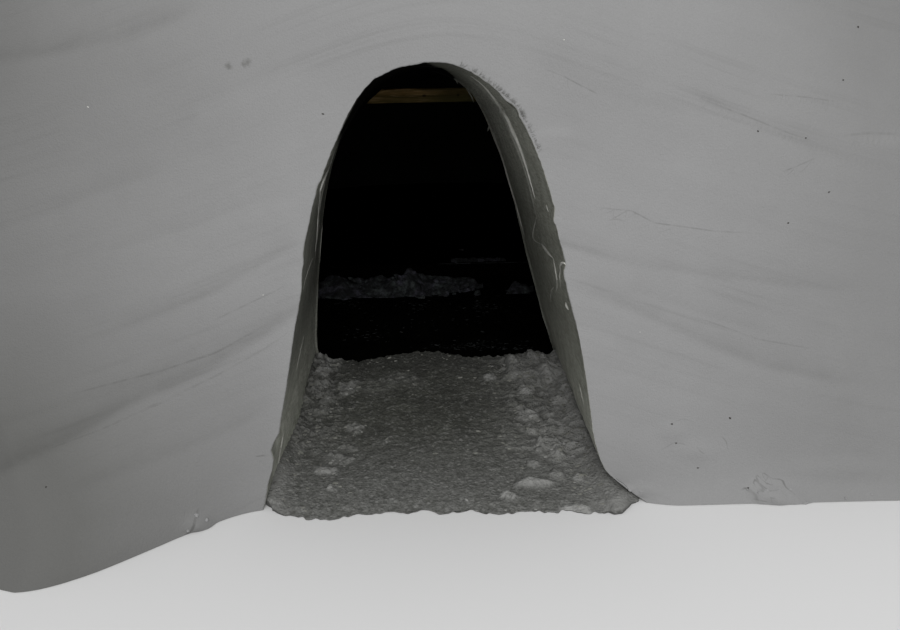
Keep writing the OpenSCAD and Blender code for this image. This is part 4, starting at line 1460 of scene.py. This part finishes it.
# Timber: sawn, aged softwood
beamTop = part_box("cross_beam")[1].z
beamForm = {
    "steps": 160, "sides": 40, "round": 0.006, "waver": 0.0016, "stainTop": beamTop - 0.035,
    "knotHeight": beamTop - 0.040, "knots": ((-0.045, 0.009), (0.145, 0.007), (-0.40, 0.006), (0.9, 0.009)),
}
# Kinds of timber: light, dark and streak tones, scale and stretch of the rings, sheen
timberKinds = {
    "beamTimber": ((0.62, 0.385, 0.150), (0.17, 0.118, 0.040), (0.92, 0.62, 0.32), 30.0, 0.07, 0.1),
    # The deck's near-black tones are painted shade of the unlit room
    "deckTimber": ((0.0016, 0.0014, 0.0012), (0.0008, 0.0007, 0.0006), (0.0030, 0.0026, 0.0022), 24.0, 0.06,
                   0.0),
}
beamDarkTones = {"side": (0.085, 0.072, 0.024), "low": (0.105, 0.100, 0.035), "knot": (0.02, 0.012, 0.006)}


def makeTimberGrain():
    tree, get = newTree("timberGrain", "ShaderNodeTree",
                        {"Vector": "Vector", "Ring Scale": "Float", "Stretch": "Float"},
                        dict.fromkeys(("Tone", "Streak", "Height"), "Float"))
    x, y, z = get["Vector"].parts()
    drawn = vectorOf(tree, x * get["Stretch"], y, z)
    rings = noise(drawn, get["Ring Scale"], 5.0, 0.6)
    fibres = noise(drawn, get["Ring Scale"] * 4.0, 3.0, 0.6)
    Node(tree, "NodeGroupOutput", {"Tone": rings.span(0.38, 0.62), "Streak": fibres.span(0.52, 0.68),
                                   "Height": rings + fibres * 0.6})
    return tree


timberGrain = makeTimberGrain()


def makeTimber(name):
    light, dark, streak, ringScale, stretch, sheen = timberKinds[name]
    material, surface, place = newMaterial(name, 0.75, sheen)
    grain = Node(place.tree, "ShaderNodeGroup", node_tree=timberGrain,
                 inputs={"Vector": place, "Ring Scale": ringScale, "Stretch": stretch})
    colour = mixColour(grain["Streak"] * 0.6, mixColour(grain["Tone"], dark, light), streak)
    bumpTo(surface, grain["Height"], 0.003)
    feed(surface["Base Color"], colour)
    return material, surface, place, colour


def makeBeamTimber():
    material, surface, place, colour = makeTimber("beamTimber")
    b = beamForm
    x, _, z = place.parts()
    # The beam is darker towards its right end and along its lower face, and dark at its knots
    colour = mixColour(x.span(-0.16, 0.10, 0.0, 0.86, smooth=True), colour, beamDarkTones["side"])
    low = z.span(b["stainTop"], b["stainTop"] - 0.02)
    colour = mixColour(low * 0.55, colour, beamDarkTones["low"])
    flat = vectorOf(place.tree, x * 0.6, z=z)
    for at, size in b["knots"]:
        knot = spotAt(flat, (at * 0.6, 0, b["knotHeight"]), size, 0.4)
        colour = mixColour(knot * 0.85, colour, beamDarkTones["knot"])
    feed(surface["Base Color"], colour)
    return material


def buildBeam():
    b = beamForm
    low, high = (np.array(corner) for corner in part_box("cross_beam"))
    half = (high - low)[1:] / 2 - b["waver"]
    middle = (high + low)[1:] / 2
    angles = np.linspace(0, 2 * math.pi, b["sides"], endpoint=False)
    circle = np.stack([np.cos(angles), np.sin(angles)], axis=-1)
    square = circle / np.max(np.abs(circle), axis=1, keepdims=True) * half
    core = np.clip(square, -(half - b["round"]), half - b["round"])
    away = square - core
    length = np.maximum(np.linalg.norm(away, axis=1, keepdims=True), 1e-9)
    section = core + away / length * np.minimum(length, b["round"])
    rows = []
    for x in np.linspace(low[0], high[0], b["steps"]):
        sway = np.stack([waver(x + angles * 0, angles, 7, seed) for seed in (21, 22)], axis=-1)
        rows += [(x, *(middle + point)) for point in section + b["waver"] * sway]
    n = b["sides"]
    faces = [(k * n + (i + 1) % n, (k + 1) * n + (i + 1) % n, (k + 1) * n + i, k * n + i)
             for k in range(b["steps"] - 1) for i in range(n)]
    faces += [tuple(reversed(range(n))), tuple(range((b["steps"] - 1) * n, b["steps"] * n))]
    beam = meshObject("beam", rows, faces)
    work = bmesh.new()
    work.from_mesh(beam.data)
    bmesh.ops.recalc_face_normals(work, faces=work.faces)
    work.to_mesh(beam.data)
    work.free()
    beam.data.materials.append(makeBeamTimber())
    handOver(beam, "beam_timber", "cross_beam")


buildBeam()
deckTimber = makeTimber("deckTimber")[0]
# Painted shade: the deck and the platform's snow base are near black for the unlit room, and so is the room's
# floor, partly also as darker ground
for name, material in (("room_floor", snow["darkFloor"]), ("platform_snow_base", snow["darkFloor"]),
                       ("platform_deck", deckTimber), ("platform_edge_board", deckTimber)):
    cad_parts[name].data.materials.clear()
    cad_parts[name].data.materials.append(material)
print("timber built")


# Scraped curls, ridges and needles of frost on the snow: lines drawn on the shell at pixels of the photo
def strandTree():
    tree, get = geometryTree("snowStrands", {"Step": "Float", "Sides": "Int", "Waver": "Float",
                                             "Material": "Material"})
    curve = Node(tree, "GeometryNodeMeshToCurve", {0: get["Geometry"]})[0]
    even = Node(tree, "GeometryNodeResampleCurve", {"Curve": curve, "Length": get["Step"]}, mode="LENGTH")[0]
    along = Node(tree, "GeometryNodeSplineParameter")["Factor"]
    taper = (along * (1.0 - along) * 4.0).power(0.4)
    circle = Node(tree, "GeometryNodeCurvePrimitiveCircle", {"Radius": 1.0, "Resolution": get["Sides"]})[0]
    tube = Node(tree, "GeometryNodeCurveToMesh",
                {"Curve": even, "Profile Curve": circle, "Fill Caps": True,
                 "Scale": (taper * namedValue(tree, "size")).orMore(0.0001)})[0]
    offset = noiseVector(position(tree), 70.0) * (get["Waver"] * 2.0)
    return finishTree(movePoints(tube, offset), get["Material"])


strands = strandTree()


def buildStrands(name, lines, form, material, slot):
    places, sizes, edges = [], [], []
    for line, radii in lines:
        edges += [(len(places) + k, len(places) + k + 1) for k in range(len(line) - 1)]
        places += list(line)
        sizes += list(radii)
    thing = meshObject(name, places, [], edges)
    storeValues(thing, "size", np.array(sizes))
    applyTree(thing, strands, {**form, "Material": material})
    handOver(thing, slot)


def lineOnShell(pixels, radii, steps=10, lift=0.3):
    at = np.linspace(0, len(pixels) - 1, (len(pixels) - 1) * steps + 1)
    knots = np.arange(len(pixels))
    us, vs = (np.interp(at, knots, values) for values in zip(*pixels))
    line, kept = [], []
    for u, v, size in zip(us, vs, np.interp(at, knots, radii)):
        place, normal = onShell((u, v))
        if place is not None and place.y < -2.6:
            line.append(np.array(place + normal * size * lift))
            kept.append(size)
    line = np.array(line)
    for _ in range(6):
        line[1:-1] = 0.5 * line[1:-1] + 0.25 * line[:-2] + 0.25 * line[2:]
    return line, kept


scrapes = {
    "ridges": (
        (((470, 75.5), (477, 80), (484, 85.5), (489.5, 91.5), (495.5, 99), (502, 108), (508.3, 118.3),
          (513.5, 130.5), (518.5, 141.5), (523.5, 156), (527.5, 169), (531.5, 184), (535.5, 200)),
         (0.0020, 0.0036, 0.0046, 0.0054, 0.0062, 0.0070, 0.0078, 0.0086, 0.0080, 0.0066, 0.0052, 0.0048,
          0.0020)),
        (((334.5, 151), (328, 169), (322.7, 180), (319.5, 190), (318.3, 207), (317.3, 223), (316.5, 238),
          (315, 252)), (0.0024, 0.0046, 0.0056, 0.0044, 0.0034, 0.0030, 0.0036, 0.0026)),
    ),
    "curls": (
        (((471.5, 97.5), (478, 105), (485.5, 116), (491.5, 130), (500.5, 152.5), (506.5, 172.5),
          (511.5, 190), (516.5, 205), (521, 222.5), (524.5, 236)),
         (0.0016, 0.0030, 0.0038, 0.0040, 0.0034, 0.0036, 0.0040, 0.0034, 0.0034, 0.0016)),
        (((336.5, 157), (331, 180), (326, 200), (322, 228), (320, 252), (319.3, 280)),
         (0.0012, 0.0022, 0.0022, 0.0020, 0.0018, 0.0010)),
        (((537, 215), (535.5, 223), (533.5, 231), (533, 237), (535, 241), (541, 244)),
         (0.0018, 0.0034, 0.0034, 0.0024, 0.0020, 0.0014)),
        (((546, 204), (547.5, 208), (548.5, 212)), (0.0012, 0.0026, 0.0012)),
        (((541, 243), (544, 246.5), (547, 250.5), (550, 254.5), (553, 258)),
         (0.0018, 0.0048, 0.0062, 0.0056, 0.0026)),
        (((553, 257), (554.5, 263), (556, 271), (557.5, 280), (557.5, 287), (556, 292)),
         (0.0014, 0.0030, 0.0034, 0.0036, 0.0030, 0.0014)),
        (((561, 268), (560, 275), (560.5, 283), (561, 288)), (0.0026, 0.0026, 0.0020, 0.0010)),
        (((551, 302), (551, 296), (552, 290), (554, 287)), (0.0014, 0.0028, 0.0034, 0.0020)),
        (((312.5, 258), (309, 267), (305.5, 278), (303, 290)), (0.0022, 0.0020, 0.0016, 0.0010)),
        (((284, 431), (282, 439), (280, 450), (278.5, 462), (277, 474)),
         (0.0016, 0.0034, 0.0034, 0.0026, 0.0012)),
        (((579.5, 384), (580.5, 388), (582, 396), (584, 404)), (0.0012, 0.0022, 0.0022, 0.0010)),
        (((296, 372), (300, 352), (304, 335)), (0.0008, 0.0014, 0.0008)),
        (((488.5, 132), (490, 127), (491.5, 130)), (0.0020, 0.0030, 0.0020)),
    ),
    "glints": (
        (((560.2, 270), (560.5, 266), (562.3, 263), (564.5, 263), (566.5, 265)),
         (0.0016, 0.0034, 0.0050, 0.0050, 0.0016)),
        (((565.8, 302), (567.2, 306), (569, 310)), (0.0026, 0.0060, 0.0030)),
        (((598, 452), (599.5, 462), (602, 470)), (0.0010, 0.0024, 0.0012)),
    ),
}
# Torn bits at the inner rim of the passage, behind its edge
rimBits = (
    (((466, 88.5), (469.5, 93), (472.5, 98.5), (473.5, 103)), (0.0014, 0.0028, 0.0034, 0.0016)),
    (((489.5, 124), (488.6, 128), (487.6, 131.5)), (0.0030, 0.0050, 0.0020)),
    (((454, 78), (456.5, 81), (458, 84.5)), (0.0014, 0.0034, 0.0014)),
    (((493, 131), (494.5, 136), (496.5, 141)), (0.0014, 0.0032, 0.0014)),
)
rimPlane = -2.66
needles = {"path": ((456.5, 66), (472, 72), (482, 79.5), (492, 86.5), (499, 92.5), (506, 99), (512, 104),
                    (518.5, 112), (521.5, 119), (526.5, 127), (533, 141), (538, 153)),
           "count": 170, "shortest": 0.007, "longest": 0.022, "radius": 0.00045, "seed": 23,
           "nearest": 0.2, "farthest": 1.2, "flattest": 5, "steepest": 85, "forward": -0.35}
edgeFrost = {"length": 0.85, "points": 60, "out": 0.004, "up": 0.001, "radius": 0.0028, "swell": 0.0012}
strandForms = {
    "scrapes": {"Step": 0.006, "Sides": 10, "Waver": 0.0016},
    "needles": {"Step": 0.005, "Sides": 4, "Waver": 0.0004},
    "edgeFrost": {"Step": 0.01, "Sides": 6, "Waver": 0.001},
}


# The ridges are painted in crestSnow, a painted highlight far lighter than the wall
def buildScrapes():
    for group, material in (("ridges", "crestSnow"), ("curls", "curlSnow"), ("glints", "glintSnow")):
        lines = [lineOnShell(pixels, radii) for pixels, radii in scrapes[group]]
        if group == "curls":
            lines += [([onPlane(pixel, 1, rimPlane) for pixel in pixels], radii) for pixels, radii in rimBits]
        buildStrands("scraped_" + group, lines, strandForms["scrapes"], snow[material], "packed_snow")


def buildNeedles():
    n = needles
    path = n["path"]
    chance = np.random.default_rng(n["seed"])
    lines = []
    for _ in range(n["count"]):
        at = chance.uniform(0, len(path) - 1)
        k = int(at)
        u, v = (start + (end - start) * (at - k) for start, end in zip(path[k], path[k + 1]))
        right, up = chance.uniform(n["nearest"], n["farthest"], 2)  # in pixels, off the path
        place, normal = onShell((u + right, v - up))
        if place is None or place.y > -3.0:
            continue
        angle = math.radians(chance.uniform(n["flattest"], n["steepest"]))
        length = chance.uniform(n["shortest"], n["longest"])
        way = Vector((math.cos(angle), n["forward"], math.sin(angle))).normalized() * length
        lines.append(((place - way * 0.2, place + way * 0.5, place + way), (n["radius"],) * 3))
    buildStrands("frost_needles", lines, strandForms["needles"], snow["frostHair"], "packed_snow")


def buildEdgeFrost():
    e = edgeFrost
    low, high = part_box("platform_edge_board")
    x = np.linspace(0.0, e["length"], e["points"])
    line = np.stack([x, low.y + e["out"] + x * 0, high.z + e["up"] + x * 0], axis=-1)
    radii = e["radius"] + e["swell"] * np.sin(x * 37)
    # The frost takes the heap's near-black snow, painted shade of the unlit room
    buildStrands("edge_frost", [(line, radii)], strandForms["edgeFrost"], snow["heap"], "loose_snow")


buildScrapes()
buildNeedles()
buildEdgeFrost()
print("curls and needles built")

# Grit and bright crystals on the face, and broken snow at its foot, at pixels of the photo
grit = {"pixels": ((323, 114), (858, 27), (843, 80), (806, 138), (829, 192), (788, 223), (730, 418),
                   (46, 487), (758, 131), (698, 468), (676, 443), (672, 424), (748, 488)),
        "radius": 0.0038}
glints = {"pixels": ((88, 107), (564, 40), (263, 295), (640, 332)), "radius": 0.003}
footLumps = (
    (259, 512, 0.012), (257, 521, 0.010), (262, 519, 0.009), (768, 489, 0.010), (759, 492, 0.008),
    (790, 488, 0.009), (747, 488, 0.005), (806, 502, 0.008), (206, 519, 0.009), (196, 514, 0.008),
    (188, 530, 0.008), (224, 533, 0.007), (171, 543, 0.008), (630, 489, 0.007), (641, 491, 0.006),
    (612, 481, 0.006), (845, 497, 0.007), (872, 494, 0.006),
)


def buildSpecks(name, tree, spots, settings, material):
    specks = lumpsOn(onShell, name, spots)
    applyTree(specks, tree, {"Length": 1.0, "Turn": 3.14, "Broad": 1.2, "Fine": 0.5, "Seed": 21, "Sunk": 0.0,
                             **settings, "Material": snow[material]})
    handOver(specks, "packed_snow")


buildSpecks("face_grit", sharpLumps, [(*pixel, grit["radius"]) for pixel in grit["pixels"]],
            {"Detail": 2}, "gritStone")
# Painted highlights: the crystals take the bright crestSnow
buildSpecks("face_crystals", sharpLumps, [(*pixel, glints["radius"]) for pixel in glints["pixels"]],
            {"Detail": 1}, "crestSnow")
buildSpecks("foot_lumps", softLumps, footLumps,
            {"Detail": 4, "Broad": 0.9, "Fine": 0.35, "Sunk": 0.55}, "footSnow")
print("specks built")

# Light and floor
studio = {"world": 0.6, "place": (0.5, -10.5, 5.0), "aim": (0.45, -4.0, 1.3), "size": 5.0, "spread": 160,
          "energy": 325, "floorHalf": 40, "floorLow": -0.002, "floorTone": 0.34, "floorSeen": 0.70}


def seenDirectly(tree):
    path = Node(tree, "ShaderNodeLightPath")
    return path["Is Camera Ray"].orMore(path["Is Glossy Ray"]).orMore(path["Is Transmission Ray"])


def makeStage():
    s = studio
    side = s["floorHalf"]
    spots = [(x, y, s["floorLow"]) for x, y in ((-side, -side), (side, -side), (side, side), (-side, side))]
    floor = meshObject("stage_floor", spots, [(0, 1, 2, 3)], smooth=False)
    material, surface, place = newMaterial("paleFloor", 0.9)
    tones = [(s[label],) * 3 for label in ("floorTone", "floorSeen")]
    feed(surface["Base Color"], mixColour(seenDirectly(place.tree), *tones))
    floor.data.materials.append(material)


def makeLight():
    s = studio
    world = bpy.data.worlds.new("studio")
    bpy.context.scene.world = world
    world.use_nodes = True
    tree = world.node_tree
    tree.nodes.clear()
    soft, white = (Node(tree, "ShaderNodeBackground", {"Color": (1, 1, 1), "Strength": strength})[0]
                   for strength in (s["world"], 1.0))
    mix = Node(tree, "ShaderNodeMixShader", {0: seenDirectly(tree), 1: soft, 2: white})[0]
    Node(tree, "ShaderNodeOutputWorld", {"Surface": mix})
    lamp = bpy.data.lights.new("soft_box", "AREA")
    lamp.shape = "DISK"
    lamp.size = s["size"]
    lamp.spread = math.radians(s["spread"])
    lamp.energy = s["energy"]
    place = Vector(s["place"])
    turn = (place - Vector(s["aim"])).to_track_quat("Z", "Y").to_matrix().to_4x4()
    placeObject("soft_box", lamp).matrix_world = Matrix.Translation(place) @ turn


makeStage()
makeLight()
bpy.context.scene.view_settings.view_transform = "Standard"
